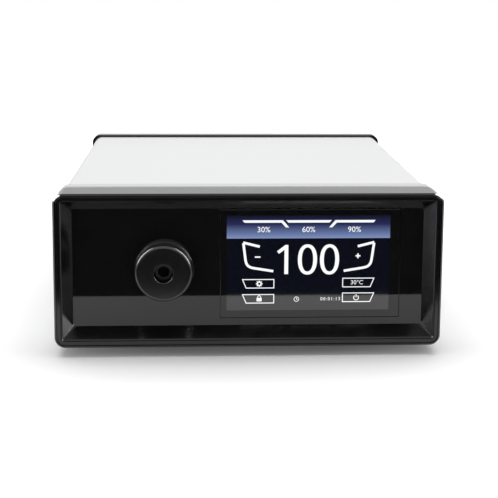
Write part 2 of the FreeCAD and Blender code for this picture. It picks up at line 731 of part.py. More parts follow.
def display_board():
    end = DISPLAY_BOARD_Y + BOARD_THICK
    return rounded_slab(GLASS_WIDTH, GLASS_HEIGHT, GLASS_CORNER, DISPLAY_BOARD_Y, end, SCREEN_X, SCREEN_Z)


def display_ribbon():
    # Flat cable from the display board down to the main board.
    x0 = SCREEN_X - RIBBON_WIDTH / 2
    x1 = SCREEN_X + RIBBON_WIDTH / 2
    y0 = DISPLAY_BOARD_Y + BOARD_THICK
    y1 = y0 + RIBBON_THICK
    y2 = MAIN_BOARD_Y - MAIN_BOARD_DEPTH / 2 + CONNECTOR_DEPTH
    z_top = SCREEN_Z - GLASS_HEIGHT / 2 + GLASS_HEIGHT * RIBBON_DROP_SHARE
    z0 = BOARD_TOP + CONNECTOR_HEIGHT
    drop = block(x0, x1, y0, y1, z0, z_top)
    run = block(x0, x1, y0, y2, z0, z0 + RIBBON_THICK)
    return joined(drop, run)


# Port pieces
def port_flange():
    flange = rod_y(PORT_X, PORT_Z, KNOB_R + FLANGE_MARGIN, PANEL_Y - FLANGE_THICK, PANEL_Y)
    flange = flange.makeFillet(KNOB_BACK_EDGE, edges_at(flange, PANEL_Y - FLANGE_THICK))
    barrel = rod_y(PORT_X, PORT_Z, BUSH_R, PANEL_Y, BUSH_END)
    bore = rod_y(PORT_X, PORT_Z, HUB_R + HUB_RUN, PANEL_Y - FLANGE_THICK - OVERRUN, BUSH_END + OVERRUN)
    return joined(flange, barrel).cut(bore)


def port_nut():
    nut = hexagon_y(PORT_X, PORT_Z, NUT_R, PANEL_BACK, PANEL_BACK + NUT_THICK)
    end = PANEL_BACK + NUT_THICK + OVERRUN
    return nut.cut(rod_y(PORT_X, PORT_Z, BUSH_R + SCREW_GAP, PANEL_BACK - OVERRUN, end))


def cam_screw_places():
    places = []
    for index in range(JAWS):
        turn = math.radians(90 + (index + 0.5) * 360 / JAWS)
        places.append((PORT_X + CAM_SCREW_AT * math.cos(turn), PORT_Z + CAM_SCREW_AT * math.sin(turn)))
    return places


def port_ring():
    back = PANEL_Y - FLANGE_THICK - MOVE_GAP
    disc = rod_y(PORT_X, PORT_Z, KNOB_R, FRONT, back)
    disc = disc.makeFillet(KNOB_EDGE, edges_at(disc, FRONT))
    disc = disc.makeFillet(KNOB_BACK_EDGE, edges_at(disc, back))
    hub = rod_y(PORT_X, PORT_Z, HUB_R, back, CAM_Y)
    funnel = cone_y(PORT_X, PORT_Z, FUNNEL_R, FUNNEL_STEP_R, FRONT, FRONT + FUNNEL_DEPTH)
    bore = rod_y(PORT_X, PORT_Z, BORE_R, FRONT, CAM_Y + OVERRUN)
    depth = CAM_Y - CAM_SCREW_LENGTH
    hole_r = CAM_SCREW_R + SCREW_GAP
    holes = [rod_y(x, z, hole_r, depth, CAM_Y + OVERRUN) for x, z in cam_screw_places()]
    return joined(disc, hub).cut([funnel, bore] + holes)


def jaw_angles():
    return [90 + index * 360 / JAWS for index in range(JAWS)]


def cam_plate():
    # Three spiral slots turn the ring's motion into equal steps of the jaws' pins.
    plate = ring_y(PORT_X, PORT_Z, CAM_R, BORE_R, CAM_Y, CAM_Y + CAM_THICK)
    cuts = []
    for angle in jaw_angles():
        for step in range(SLOT_STEPS + 1):
            share = step / SLOT_STEPS
            turn = math.radians(angle + JAW_TURN * share)
            radius = JAW_PIN_AT - JAW_TRAVEL * share
            x = PORT_X + radius * math.cos(turn)
            z = PORT_Z + radius * math.sin(turn)
            cuts.append(rod_y(x, z, JAW_PIN_R + SLOT_GAP, CAM_Y - OVERRUN, CAM_Y + CAM_THICK + OVERRUN))
    end = CAM_Y + CAM_THICK
    for x, z in cam_screw_places():
        cuts.append(rod_y(x, z, CAM_SCREW_R + SCREW_GAP, CAM_Y - OVERRUN, end + OVERRUN))
        cuts.append(rod_y(x, z, CAM_SCREW_HEAD_R + SCREW_GAP, end - CAM_SCREW_HEAD, end + OVERRUN))
    return plate.cut(cuts)


def cam_screws():
    screws = []
    end = CAM_Y + CAM_THICK
    for x, z in cam_screw_places():
        head = rod_y(x, z, CAM_SCREW_HEAD_R, end - CAM_SCREW_HEAD, end)
        shank = rod_y(x, z, CAM_SCREW_R, CAM_Y - CAM_SCREW_LENGTH, end - CAM_SCREW_HEAD)
        screws.append(joined(head, shank))
    return Part.makeCompound(screws)


def radial_bar(angle, r0, r1, width, y0, y1):
    return slanted_bar(PORT_X, PORT_Z, angle, r0, r1, width, y0, y1)


def jaw(angle):
    bar = radial_bar(angle, JAW_TIP_R, JAW_TAIL_R, JAW_WIDTH, GUIDE_Y, GUIDE_Y + JAW_THICK)
    turn = math.radians(angle)
    x = PORT_X + JAW_PIN_AT * math.cos(turn)
    z = PORT_Z + JAW_PIN_AT * math.sin(turn)
    pin = rod_y(x, z, JAW_PIN_R, CAM_Y + MOVE_GAP, GUIDE_Y)
    return joined(bar, pin)


def jaw_guide():
    disc = ring_y(PORT_X, PORT_Z, JAW_GUIDE_R, SLEEVE_R + SCREW_GAP, GUIDE_Y, BENCH_Y)
    width = JAW_WIDTH + 2 * MOVE_GAP
    depth = GUIDE_Y + JAW_THICK + MOVE_GAP
    grooves = []
    for angle in jaw_angles():
        grooves.append(radial_bar(angle, 0, JAW_GUIDE_R + OVERRUN, width, GUIDE_Y - OVERRUN, depth))
    return disc.cut(grooves)


def guide_sleeve():
    start = FRONT + SLEEVE_DEPTH
    tube = ring_y(PORT_X, PORT_Z, SLEEVE_R, SLEEVE_BORE_R, start, BENCH_BACK)
    lead = cone_y(PORT_X, PORT_Z, SLEEVE_BORE_R + SLEEVE_LEAD, SLEEVE_BORE_R, start, start + SLEEVE_LEAD)
    width = JAW_WIDTH + 2 * MOVE_GAP
    y0 = GUIDE_Y - MOVE_GAP
    y1 = GUIDE_Y + JAW_THICK + MOVE_GAP
    windows = [radial_bar(angle, 0, JAW_GUIDE_R, width, y0, y1) for angle in jaw_angles()]
    return tube.cut([lead] + windows)


# Optics bench
def optics_bracket():
    x0 = PORT_X - BRACKET_HALF
    x1 = PORT_X + BRACKET_HALF
    end = SINK_Y
    top = PORT_Z + BRACKET_HALF
    base = block(x0, x1, BENCH_Y, end, FLOOR_Z, FLOOR_Z + BRACKET_THICK)
    front = block(x0, x1, BENCH_Y, BENCH_BACK, FLOOR_Z, top)
    cradle_y = BARREL_Y + BARREL_LENGTH * CRADLE_AT_SHARE
    cradle = block(x0, x1, cradle_y, cradle_y + CRADLE_THICK, FLOOR_Z, top)
    ears = []
    for side in (-1, 1):
        x_ends = sorted((side * (FLAP_HALF + SHEET), side * (FLAP_HALF + SHEET + EAR_THICK)))
        z0 = HINGE_Z - EAR_HALF
        z1 = HINGE_Z + EAR_HALF
        ears.append(block(PORT_X + x_ends[0], PORT_X + x_ends[1], BENCH_Y, HINGE_Y + EAR_HALF, z0, z1))
    body = joined(base, front, cradle, *ears)
    sleeve_hole = rod_y(PORT_X, PORT_Z, SLEEVE_R + SCREW_GAP, BENCH_Y - OVERRUN, BENCH_BACK + OVERRUN)
    cradle_end = cradle_y + CRADLE_THICK + OVERRUN
    barrel_hole = rod_y(PORT_X, PORT_Z, BARREL_R + SCREW_GAP, cradle_y - OVERRUN, cradle_end)
    reach = FLAP_HALF + SHEET + EAR_THICK + OVERRUN
    pin_hole = rod_x(HINGE_Y, HINGE_Z, HINGE_PIN_R + SCREW_GAP, PORT_X - reach, PORT_X + reach)
    return body.cut([sleeve_hole, barrel_hole, pin_hole])


def shutter_pin():
    reach = FLAP_HALF + SHEET + EAR_THICK
    return rod_x(HINGE_Y, HINGE_Z, HINGE_PIN_R, PORT_X - reach, PORT_X + reach)


def shutter_flap():
    y0 = HINGE_Y - KNUCKLE_R
    plate = block(PORT_X - FLAP_HALF, PORT_X + FLAP_HALF, y0, y0 + FLAP_THICK, PORT_Z - FLAP_BELOW, HINGE_Z)
    x1 = PORT_X + FLAP_HALF - SPRING_WIDTH
    knuckle = rod_x(HINGE_Y, HINGE_Z, KNUCKLE_R, PORT_X - FLAP_HALF, x1)
    notch = block(
        x1, PORT_X + FLAP_HALF + OVERRUN, y0 - OVERRUN, HINGE_Y, HINGE_Z - 2 * KNUCKLE_R, HINGE_Z + OVERRUN)
    bore = rod_x(HINGE_Y, HINGE_Z, HINGE_PIN_R + HINGE_RUN, PORT_X - FLAP_HALF - OVERRUN, x1 + OVERRUN)
    flap = joined(plate.cut(notch), knuckle).cut(bore)
    x = PORT_X - FLAP_HALF + MAGNET_R + SHEET
    z = PORT_Z - FLAP_BELOW + MAGNET_R + SHEET
    magnet = rod_y(x, z, MAGNET_R, y0 + FLAP_THICK, y0 + FLAP_THICK + MAGNET_THICK)
    return Part.makeCompound([flap, magnet])


def shutter_spring():
    x0 = PORT_X + FLAP_HALF - SPRING_WIDTH + MOVE_GAP
    x1 = PORT_X + FLAP_HALF
    coil = rod_x(HINGE_Y, HINGE_Z, SPRING_R, x0, x1)
    top = HINGE_Z + SPRING_R
    leg = block(x1 - SPRING_WIRE, x1, BENCH_BACK, HINGE_Y, top - SPRING_WIRE, top)
    hole = rod_x(HINGE_Y, HINGE_Z, HINGE_PIN_R + SCREW_GAP, x0 - OVERRUN, x1 + OVERRUN)
    return joined(coil, leg).cut(hole)


def interlock_sensor():
    x0 = PORT_X - SLEEVE_R - SENSOR_WIDTH
    x1 = x0 + SENSOR_WIDTH
    z1 = PORT_Z - MAGNET_R
    return block(x0, x1, BENCH_BACK, BENCH_BACK + SENSOR_THICK, z1 - SENSOR_HEIGHT, z1)


def lens_barrel():
    inner = BARREL_R - BARREL_WALL
    tube = ring_y(PORT_X, PORT_Z, BARREL_R, inner, BARREL_Y, BARREL_BACK)
    y_shoulder = BARREL_BACK - BARREL_SHOULDER_LENGTH
    shoulder = ring_y(PORT_X, PORT_Z, inner, inner - BARREL_SHOULDER, y_shoulder, BARREL_BACK)
    flange = ring_y(PORT_X, PORT_Z, BARREL_FLANGE_R, inner, BARREL_BACK - BARREL_FLANGE, BARREL_BACK)
    return joined(tube, shoulder, flange)


def lens_radius():
    return BARREL_R - BARREL_WALL - LENS_GAP


def sphere_radius(crown):
    return (lens_radius() ** 2 + crown ** 2) / (2 * crown)


def crown_seat(crown):
    # How far the convex face stands in front of its rim where the rings' bore meets it.
    bore = lens_radius() - SPACER_WALL
    sphere_r = sphere_radius(crown)
    return math.sqrt(sphere_r ** 2 - bore ** 2) - (sphere_r - crown) + SCREW_GAP


def lens(y_flat, crown):
    # Flat towards the light engine, convex towards the port.
    radius = lens_radius()
    y_rim = y_flat - LENS_EDGE
    sphere_r = sphere_radius(crown)
    half = math.asin(radius / sphere_r) / 2
    middle = V(sphere_r * math.sin(half), y_rim - crown + sphere_r * (1 - math.cos(half)), 0)
    tip = V(0, y_rim - crown, 0)
    rim = V(radius, y_rim, 0)
    sides = [
        Part.LineSegment(tip, V(0, y_flat, 0)).toShape(),
        Part.LineSegment(V(0, y_flat, 0), V(radius, y_flat, 0)).toShape(),
        Part.LineSegment(V(radius, y_flat, 0), rim).toShape(),
        Part.Arc(rim, middle, tip).toShape()]
    solid = Part.Face(Part.Wire(sides)).revolve(V(0, 0, 0), V(0, 1, 0), 360)
    solid.translate(V(PORT_X, 0, PORT_Z))
    return solid


def condenser_lens():
    return lens(BARREL_BACK - BARREL_SHOULDER_LENGTH, CONDENSER_CROWN)


def spacer_end():
    return BARREL_BACK - BARREL_SHOULDER_LENGTH - LENS_EDGE - crown_seat(CONDENSER_CROWN)


def lens_spacer():
    y1 = spacer_end()
    return ring_y(PORT_X, PORT_Z, lens_radius(), lens_radius() - SPACER_WALL, y1 - SPACER_LENGTH, y1)


def collimator_lens():
    return lens(spacer_end() - SPACER_LENGTH, COLLIMATOR_CROWN)


def lens_retainer():
    y1 = spacer_end() - SPACER_LENGTH - LENS_EDGE - crown_seat(COLLIMATOR_CROWN)
    y0 = y1 - RETAINER_LENGTH
    ring = ring_y(PORT_X, PORT_Z, lens_radius(), lens_radius() - SPACER_WALL, y0, y1)
    half = SPACER_WALL / 2
    x0 = PORT_X - BARREL_R
    x1 = PORT_X + BARREL_R
    slot = block(x0, x1, y0 - OVERRUN, y0 + RETAINER_LENGTH / 2, PORT_Z - half, PORT_Z + half)
    return ring.cut(slot)


def led_board():
    return rod_y(PORT_X, PORT_Z, LED_BOARD_R, BARREL_BACK, SINK_Y)


def led_emitter():
    seat = rod_y(PORT_X, PORT_Z, LED_SEAT_R, BARREL_BACK - LED_SEAT_THICK, BARREL_BACK)
    dome = Part.makeSphere(LED_DOME_R, V(PORT_X, BARREL_BACK - LED_SEAT_THICK, PORT_Z))
    far = BARREL_BACK - LED_SEAT_THICK - 2 * LED_DOME_R
    near = BARREL_BACK - LED_SEAT_THICK
    half = LED_DOME_R * 2
    keep = block(PORT_X - half, PORT_X + half, far, near, PORT_Z - half, PORT_Z + half)
    return joined(seat, dome.common(keep))


def led_heatsink():
    x0 = PORT_X - SINK_WIDTH / 2
    z0 = PORT_Z - SINK_HEIGHT / 2
    z1 = PORT_Z + SINK_HEIGHT / 2
    base = block(x0, x0 + SINK_WIDTH, SINK_Y, SINK_Y + SINK_BASE, z0, z1)
    pitch = (SINK_WIDTH - SINK_FIN_THICK) / (SINK_FINS - 1)
    fins = []
    for index in range(SINK_FINS):
        x = x0 + pitch * index
        fins.append(block(x, x + SINK_FIN_THICK, SINK_Y + SINK_BASE, FIN_END, z0, z1))
    return joined(base, *fins)


def sink_posts():
    reach = SINK_WIDTH * SINK_POST_SHARE
    y = SINK_Y + SINK_BASE / 2
    top = PORT_Z - SINK_HEIGHT / 2
    posts = [rod_z(PORT_X + side * reach, y, SINK_POST_R, FLOOR_Z, top) for side in (-1, 1)]
    return Part.makeCompound(posts)


def fan_bore(size):
    return size / 2 - FAN_WALL


def fan_frame(size, y0, depth):
    # Square frame with a round air way, spokes and the axle for its rotor.
    y1 = y0 + depth
    bore = fan_bore(size)
    hub = bore * FAN_HUB_SHARE
    frame = rounded_slab(size, size, FAN_CORNER, y0, y1, PORT_X, PORT_Z)
    frame = frame.cut(rod_y(PORT_X, PORT_Z, bore, y0 - OVERRUN, y1 + OVERRUN))
    carrier = rod_y(PORT_X, PORT_Z, hub, y1 - FAN_CARRIER, y1)
    axle = rod_y(PORT_X, PORT_Z, FAN_AXLE_R, y0 + FAN_CARRIER + MOVE_GAP, y1)
    half = FAN_SPOKE / 2
    spokes = []
    for index in range(FAN_SPOKES):
        spoke = block(hub / 2, bore + FAN_WALL / 2, y1 - FAN_CARRIER, y1, -half, half)
        spoke.rotate(V(0, 0, 0), V(0, 1, 0), 45 + index * 360 / FAN_SPOKES)
        spoke.translate(V(PORT_X, 0, PORT_Z))
        spokes.append(spoke)
    body = joined(frame, carrier, axle, *spokes)
    half = size / 2 - FAN_HOLE_INSET
    places = corners_of(half, half, PORT_X, PORT_Z)
    return body.cut([rod_y(x, z, FAN_HOLE_R, y0 - OVERRUN, y1 + OVERRUN) for x, z in places])


def fan_rotor(size, y0, depth):
    # Hub cup with pitched blades, turning on the frame's axle.
    bore = fan_bore(size)
    hub = bore * FAN_HUB_SHARE
    tip = bore - FAN_TIP_GAP
    start = y0 + FAN_TIP_GAP
    end = y0 + depth - FAN_CARRIER - MOVE_GAP
    cup = rod_y(PORT_X, PORT_Z, hub, start, end)
    chord = (end - start) / math.cos(math.radians(FAN_BLADE_PITCH)) * FAN_BLADE_CHORD_SHARE
    middle = (start + end) / 2
    sweep = ring_y(PORT_X, PORT_Z, tip, hub / 2, start, end)
    blades = []
    for index in range(FAN_BLADES):
        half = FAN_BLADE_THICK / 2
        blade = block(hub - half, bore, -chord / 2, chord / 2, -half, half)
        blade.rotate(V(0, 0, 0), V(1, 0, 0), FAN_BLADE_PITCH)
        blade.rotate(V(0, 0, 0), V(0, 1, 0), index * 360 / FAN_BLADES)
        blade.translate(V(PORT_X, middle, PORT_Z))
        blades.append(blade.common(sweep))
    axle_end = y0 + FAN_CARRIER
    hole = rod_y(PORT_X, PORT_Z, FAN_AXLE_R + FAN_RUN, axle_end, end + OVERRUN)
    return joined(cup, *blades).cut(hole)


def led_fan_frame():
    return fan_frame(LED_FAN_SIZE, FIN_END, LED_FAN_DEPTH)


def led_fan_rotor():
    return fan_rotor(LED_FAN_SIZE, FIN_END, LED_FAN_DEPTH)


def rear_fan_frame():
    return fan_frame(REAR_FAN_SIZE, REAR_FAN_Y, REAR_FAN_DEPTH)


def rear_fan_rotor():
    return fan_rotor(REAR_FAN_SIZE, REAR_FAN_Y, REAR_FAN_DEPTH)


def square_taper(size0, size1, y0, y1):
    first = rounded_outline(size0, size0, FAN_CORNER, y0, PORT_X, PORT_Z)
    last = rounded_outline(size1, size1, FAN_CORNER, y1, PORT_X, PORT_Z)
    return Part.makeLoft([first, last], True, True)


def air_duct():
    y0 = FIN_END + LED_FAN_DEPTH
    inner0 = LED_FAN_SIZE - 2 * DUCT_WALL
    inner1 = REAR_FAN_SIZE - 2 * DUCT_WALL
    outer = square_taper(LED_FAN_SIZE, REAR_FAN_SIZE, y0, REAR_FAN_Y)
    return outer.cut(square_taper(inner0, inner1, y0, REAR_FAN_Y))


def fan_guard():
    # Flat wire grille over the rear fan's outlet.
    outer = fan_bore(REAR_FAN_SIZE)
    inner = outer * GUARD_INNER_SHARE
    y1 = LIP_Y + GUARD_WIRE
    step = (outer - inner) / (GUARD_RINGS - 1)
    half = GUARD_WIRE / 2
    rings = []
    for index in range(GUARD_RINGS):
        radius = inner + step * index
        rings.append(ring_y(PORT_X, PORT_Z, radius + half, radius - half, LIP_Y, y1))
    place = REAR_FAN_SIZE / 2 - FAN_HOLE_INSET
    reach = place * math.sqrt(2)
    for turn in (45, 135):
        bar = block(-reach, reach, LIP_Y, y1, -half, half)
        bar.rotate(V(0, 0, 0), V(0, 1, 0), turn)
        bar.translate(V(PORT_X, 0, PORT_Z))
        rings.append(bar)
    places = corners_of(place, place, PORT_X, PORT_Z)
    rings += [rod_y(x, z, GUARD_TAB_R, LIP_Y, y1) for x, z in places]
    grille = joined(rings[0], *rings[1:])
    hole_r = FAN_SCREW_R + SCREW_GAP
    return grille.cut([rod_y(x, z, hole_r, LIP_Y - OVERRUN, y1 + OVERRUN) for x, z in places])


def fan_screws():
    place = REAR_FAN_SIZE / 2 - FAN_HOLE_INSET
    seat = LIP_Y + GUARD_WIRE
    size = (SCREW_LENGTH, FAN_SCREW_R, FAN_SCREW_HEAD_R, SCREW_HEAD)
    places = corners_of(place, place, PORT_X, PORT_Z)
    return Part.makeCompound([screw_y(x, z, seat, *size) for x, z in places])


# Boards
def plate_on_floor(x, y, width, depth):
    return block(x - width / 2, x + width / 2, y - depth / 2, y + depth / 2, BOARD_Z, BOARD_TOP)


def board_standoffs():
    boards = (
        (BOARDS_X, MAIN_BOARD_Y, MAIN_BOARD_WIDTH, MAIN_BOARD_DEPTH),
        (DRIVER_BOARD_X, DRIVER_BOARD_Y, DRIVER_BOARD_WIDTH, DRIVER_BOARD_DEPTH),
        (BOARDS_X, SUPPLY_BOARD_Y, SUPPLY_BOARD_WIDTH, SUPPLY_BOARD_DEPTH))
    posts = []
    for x, y, width, depth in boards:
        for at_x, at_y in corners_of(width / 2 - STANDOFF_INSET, depth / 2 - STANDOFF_INSET, x, y):
            posts.append(rod_z(at_x, at_y, STANDOFF_R, FLOOR_Z, BOARD_Z))
    return Part.makeCompound(posts)


def main_board():
    # The board and the parts soldered to it are separate solids.
    chip_shares = ((-0.22, 0.1), (0.12, 0.18), (0.3, -0.12), (-0.05, -0.2))
    parts = [plate_on_floor(BOARDS_X, MAIN_BOARD_Y, MAIN_BOARD_WIDTH, MAIN_BOARD_DEPTH)]
    for share_x, share_y in chip_shares:
        x = BOARDS_X + MAIN_BOARD_WIDTH * share_x
        y = MAIN_BOARD_Y + MAIN_BOARD_DEPTH * share_y
        half = CHIP_SIZE / 2
        parts.append(block(x - half, x + half, y - half, y + half, BOARD_TOP, BOARD_TOP + CHIP_HEIGHT))
    x0 = SCREEN_X - RIBBON_WIDTH / 2
    y0 = MAIN_BOARD_Y - MAIN_BOARD_DEPTH / 2
    z1 = BOARD_TOP + CONNECTOR_HEIGHT
    parts.append(block(x0, x0 + RIBBON_WIDTH, y0, y0 + CONNECTOR_DEPTH, BOARD_TOP, z1))
    return Part.makeCompound(parts)


def driver_board():
    y0 = DRIVER_BOARD_Y - DRIVER_BOARD_DEPTH / 2
    z1 = BOARD_TOP + CONNECTOR_HEIGHT
    x0 = DRIVER_BOARD_X - CONNECTOR_WIDTH / 2
    parts = [plate_on_floor(DRIVER_BOARD_X, DRIVER_BOARD_Y, DRIVER_BOARD_WIDTH, DRIVER_BOARD_DEPTH)]
    parts.append(block(x0, x0 + CONNECTOR_WIDTH, y0, y0 + CONNECTOR_DEPTH, BOARD_TOP, z1))
    parts.append(rod_z(DRIVER_BOARD_X, DRIVER_BOARD_Y, CHOKE_R, BOARD_TOP, BOARD_TOP + CHOKE_HEIGHT))
    y = DRIVER_BOARD_Y + DRIVER_BOARD_DEPTH / 2 - CAPACITOR_R - STANDOFF_INSET
    parts.append(rod_z(DRIVER_BOARD_X, y, CAPACITOR_R, BOARD_TOP, BOARD_TOP + LOW_CAPACITOR_HEIGHT))
    return Part.makeCompound(parts)


def supply_board():
    half = TRANSFORMER_SIZE / 2
    x = BOARDS_X
    y = SUPPLY_BOARD_Y
    parts = [plate_on_floor(x, y, SUPPLY_BOARD_WIDTH, SUPPLY_BOARD_DEPTH)]
    parts.append(block(x - half, x + half, y - half, y + half, BOARD_TOP, BOARD_TOP + TRANSFORMER_HEIGHT))
    capacitor_shares = ((-0.36, 0.2), (-0.36, -0.2), (0.34, 0.24))
    for share_x, share_y in capacitor_shares:
        at_x = x + SUPPLY_BOARD_WIDTH * share_x
        at_y = y + SUPPLY_BOARD_DEPTH * share_y
        parts.append(rod_z(at_x, at_y, CAPACITOR_R, BOARD_TOP, BOARD_TOP + CAPACITOR_HEIGHT))
    choke_share = 0.3
    at_x = x + SUPPLY_BOARD_WIDTH * choke_share
    at_y = y - SUPPLY_BOARD_DEPTH * choke_share
    parts.append(rod_z(at_x, at_y, CHOKE_R, BOARD_TOP, BOARD_TOP + CHOKE_HEIGHT))
    return Part.makeCompound(parts)


def supply_cage():
    # Perforated sheet cover over the mains side, open below.
    half_x = SUPPLY_BOARD_WIDTH / 2 + CAGE_MARGIN
    half_y = SUPPLY_BOARD_DEPTH / 2 + CAGE_MARGIN
    top = FLOOR_Z + CAGE_HEIGHT
    x = BOARDS_X
    y = SUPPLY_BOARD_Y
    outer = block(x - half_x, x + half_x, y - half_y, y + half_y, FLOOR_Z, top)
    in_x = half_x - CAGE_WALL
    in_y = half_y - CAGE_WALL
    inner = block(x - in_x, x + in_x, y - in_y, y + in_y, FLOOR_Z - OVERRUN, top - CAGE_WALL)
    columns = int((2 * half_x - 2 * CAGE_HOLE_PITCH) / CAGE_HOLE_PITCH)
    rows = int((2 * half_y - 2 * CAGE_HOLE_PITCH) / CAGE_HOLE_PITCH / 2)
    holes = []
    for column in range(columns + 1):
        for row in range(rows + 1):
            at_x = x + CAGE_HOLE_PITCH * (column - columns / 2)
            at_y = y + 2 * CAGE_HOLE_PITCH * (row - rows / 2)
            holes.append(rod_z(at_x, at_y, CAGE_HOLE_R, top - 2 * CAGE_WALL, top + OVERRUN))
    return outer.cut([inner] + holes)


# Rear connections
def rear_panel():
    width = COVER_WIDTH - 2 * COVER_WALL
    height = COVER_HEIGHT - 2 * COVER_WALL
    y0 = LIP_Y - SHEET
    plate = rounded_slab(width, height, COVER_CORNER - COVER_WALL, y0, LIP_Y)
    cuts = [rod_y(PORT_X, PORT_Z, fan_bore(REAR_FAN_SIZE), y0 - OVERRUN, LIP_Y + OVERRUN)]
    place = REAR_FAN_SIZE / 2 - FAN_HOLE_INSET
    cuts += [rod_y(x, z, FAN_HOLE_R, y0 - OVERRUN, LIP_Y + OVERRUN)
             for x, z in corners_of(place, place, PORT_X, PORT_Z)]
    cuts += [rod_y(x, z, SCREW_HOLE_R, y0 - OVERRUN, LIP_Y + OVERRUN) for x, z in boss_places()]
    cuts.append(rounded_slab(
        INLET_BODY_WIDTH + 2 * SCREW_GAP, INLET_BODY_HEIGHT + 2 * SCREW_GAP, INLET_CORNER,
        y0 - OVERRUN, LIP_Y + OVERRUN, INLET_X, INLET_Z))
    cuts.append(rod_y(STUD_X, MID_Z + STUD_RISE, STUD_R + SCREW_GAP, y0 - OVERRUN, LIP_Y + OVERRUN))
    cuts.append(rod_y(JACK_X, MID_Z + JACK_RISE, jack_r() + SCREW_GAP, y0 - OVERRUN, LIP_Y + OVERRUN))
    half_x = DATA_WIDTH / 2 + SCREW_GAP
    z0 = MID_Z + DATA_RISE - DATA_HEIGHT / 2 - SCREW_GAP
    z1 = MID_Z + DATA_RISE + DATA_HEIGHT / 2 + SCREW_GAP
    cuts.append(block(DATA_X - half_x, DATA_X + half_x, y0 - OVERRUN, LIP_Y + OVERRUN, z0, z1))
    return plate.cut(cuts)


def mains_inlet():
    width = INLET_FLANGE_WIDTH
    height = INLET_BODY_HEIGHT + 2 * INLET_FLANGE_MARGIN
    flange = rounded_slab(width, height, INLET_CORNER, LIP_Y, INLET_FACE, INLET_X, INLET_Z)
    flange = flange.makeFillet(INLET_FLANGE_THICK / 2, edges_at(flange, INLET_FACE))
    body = rounded_slab(
        INLET_BODY_WIDTH, INLET_BODY_HEIGHT, INLET_CORNER, INLET_BACK, LIP_Y, INLET_X, INLET_Z)
    rocker_width = ROCKER_WIDTH + 2 * ROCKER_SIDE_GAP
    half_x = rocker_width / 2
    z0 = ROCKER_Z - ROCKER_OPENING / 2
    z1 = ROCKER_Z + ROCKER_OPENING / 2
    y0 = INLET_FACE - ROCKER_DEPTH
    rocker_well = block(INLET_X - half_x, INLET_X + half_x, y0, INLET_FACE + OVERRUN, z0, z1)
    reach = ROCKER_WIDTH / 2 + TRUNNION_REACH + SCREW_GAP
    trunnion = rod_x(ROCKER_Y, ROCKER_Z, TRUNNION_R + TRUNNION_RUN, INLET_X - reach, INLET_X + reach)
    y0 = INLET_FACE - SOCKET_DEPTH
    socket = rounded_slab(
        SOCKET_WIDTH, SOCKET_HEIGHT, SOCKET_CORNER, y0, INLET_FACE + OVERRUN, INLET_X, SOCKET_Z)
    half_x = DRAWER_WIDTH / 2 + DRAWER_GAP
    half_z = DRAWER_OPENING / 2
    y0 = INLET_FACE - DRAWER_DEPTH - DRAWER_GAP
    drawer_slot = block(
        INLET_X - half_x, INLET_X + half_x, y0, INLET_FACE + OVERRUN, DRAWER_Z - half_z, DRAWER_Z + half_z)
    pins = [pin_block(x, z, PIN_WIDTH + 2 * SCREW_GAP, PIN_HEIGHT + 2 * SCREW_GAP) for x, z in pin_places()]
    return joined(flange, body).cut([rocker_well, trunnion, socket, drawer_slot] + pins)


def pin_places():
    # Two contacts in a row and the earth contact above them.
    low = SOCKET_Z - PIN_RISE / 2
    half = PIN_SPACING / 2
    return ((INLET_X - half, low), (INLET_X + half, low), (INLET_X, SOCKET_Z + PIN_RISE / 2))


def pin_block(x, z, width, height):
    y1 = INLET_FACE - SOCKET_DEPTH + PIN_LENGTH
    return block(x - width / 2, x + width / 2, INLET_BACK - STUD_IN, y1, z - height / 2, z + height / 2)


def inlet_pins():
    return Part.makeCompound([pin_block(x, z, PIN_WIDTH, PIN_HEIGHT) for x, z in pin_places()])


def fuse_places():
    half = FUSE_SPACING / 2
    return ((INLET_X - half, DRAWER_Z), (INLET_X + half, DRAWER_Z))


def fuse_drawer():
    # Tray that slides out rearwards with both fuses, behind a face plate with a finger notch.
    half_x = DRAWER_WIDTH / 2
    half_z = DRAWER_HEIGHT / 2
    y0 = INLET_FACE - DRAWER_DEPTH
    tray = block(INLET_X - half_x, INLET_X + half_x, y0, INLET_FACE, DRAWER_Z - half_z, DRAWER_Z + half_z)
    y_fuse = INLET_FACE - DRAWER_WALL - FUSE_LENGTH
    radius = FUSE_R + FUSE_GAP
    cuts = []
    for x, z in fuse_places():
        cuts.append(rod_y(x, z, radius, y_fuse, INLET_FACE - DRAWER_WALL))
        cuts.append(block(x - radius, x + radius, y_fuse, INLET_FACE - DRAWER_WALL, z, z + half_z + OVERRUN))
    tray = tray.cut(cuts)
    width = DRAWER_WIDTH + 2 * DRAWER_FACE_MARGIN
    height = DRAWER_HEIGHT + 2 * DRAWER_FACE_MARGIN
    y1 = INLET_FACE + DRAWER_GAP + DRAWER_FACE
    face = rounded_slab(width, height, DRAWER_FACE_MARGIN, INLET_FACE + DRAWER_GAP, y1, INLET_X, DRAWER_Z)
    z0 = DRAWER_Z - half_z
    neck = block(INLET_X - half_x, INLET_X + half_x, INLET_FACE - DRAWER_WALL, y1, z0, z0 + DRAWER_HEIGHT)
    notch = rod_z(INLET_X, y1 + DRAWER_FACE, 2 * DRAWER_FACE, 0, BODY_TOP)
    return joined(tray, neck, face).cut(notch)


def fuses():
    y1 = INLET_FACE - DRAWER_WALL
    return Part.makeCompound([rod_y(x, z, FUSE_R, y1 - FUSE_LENGTH, y1) for x, z in fuse_places()])


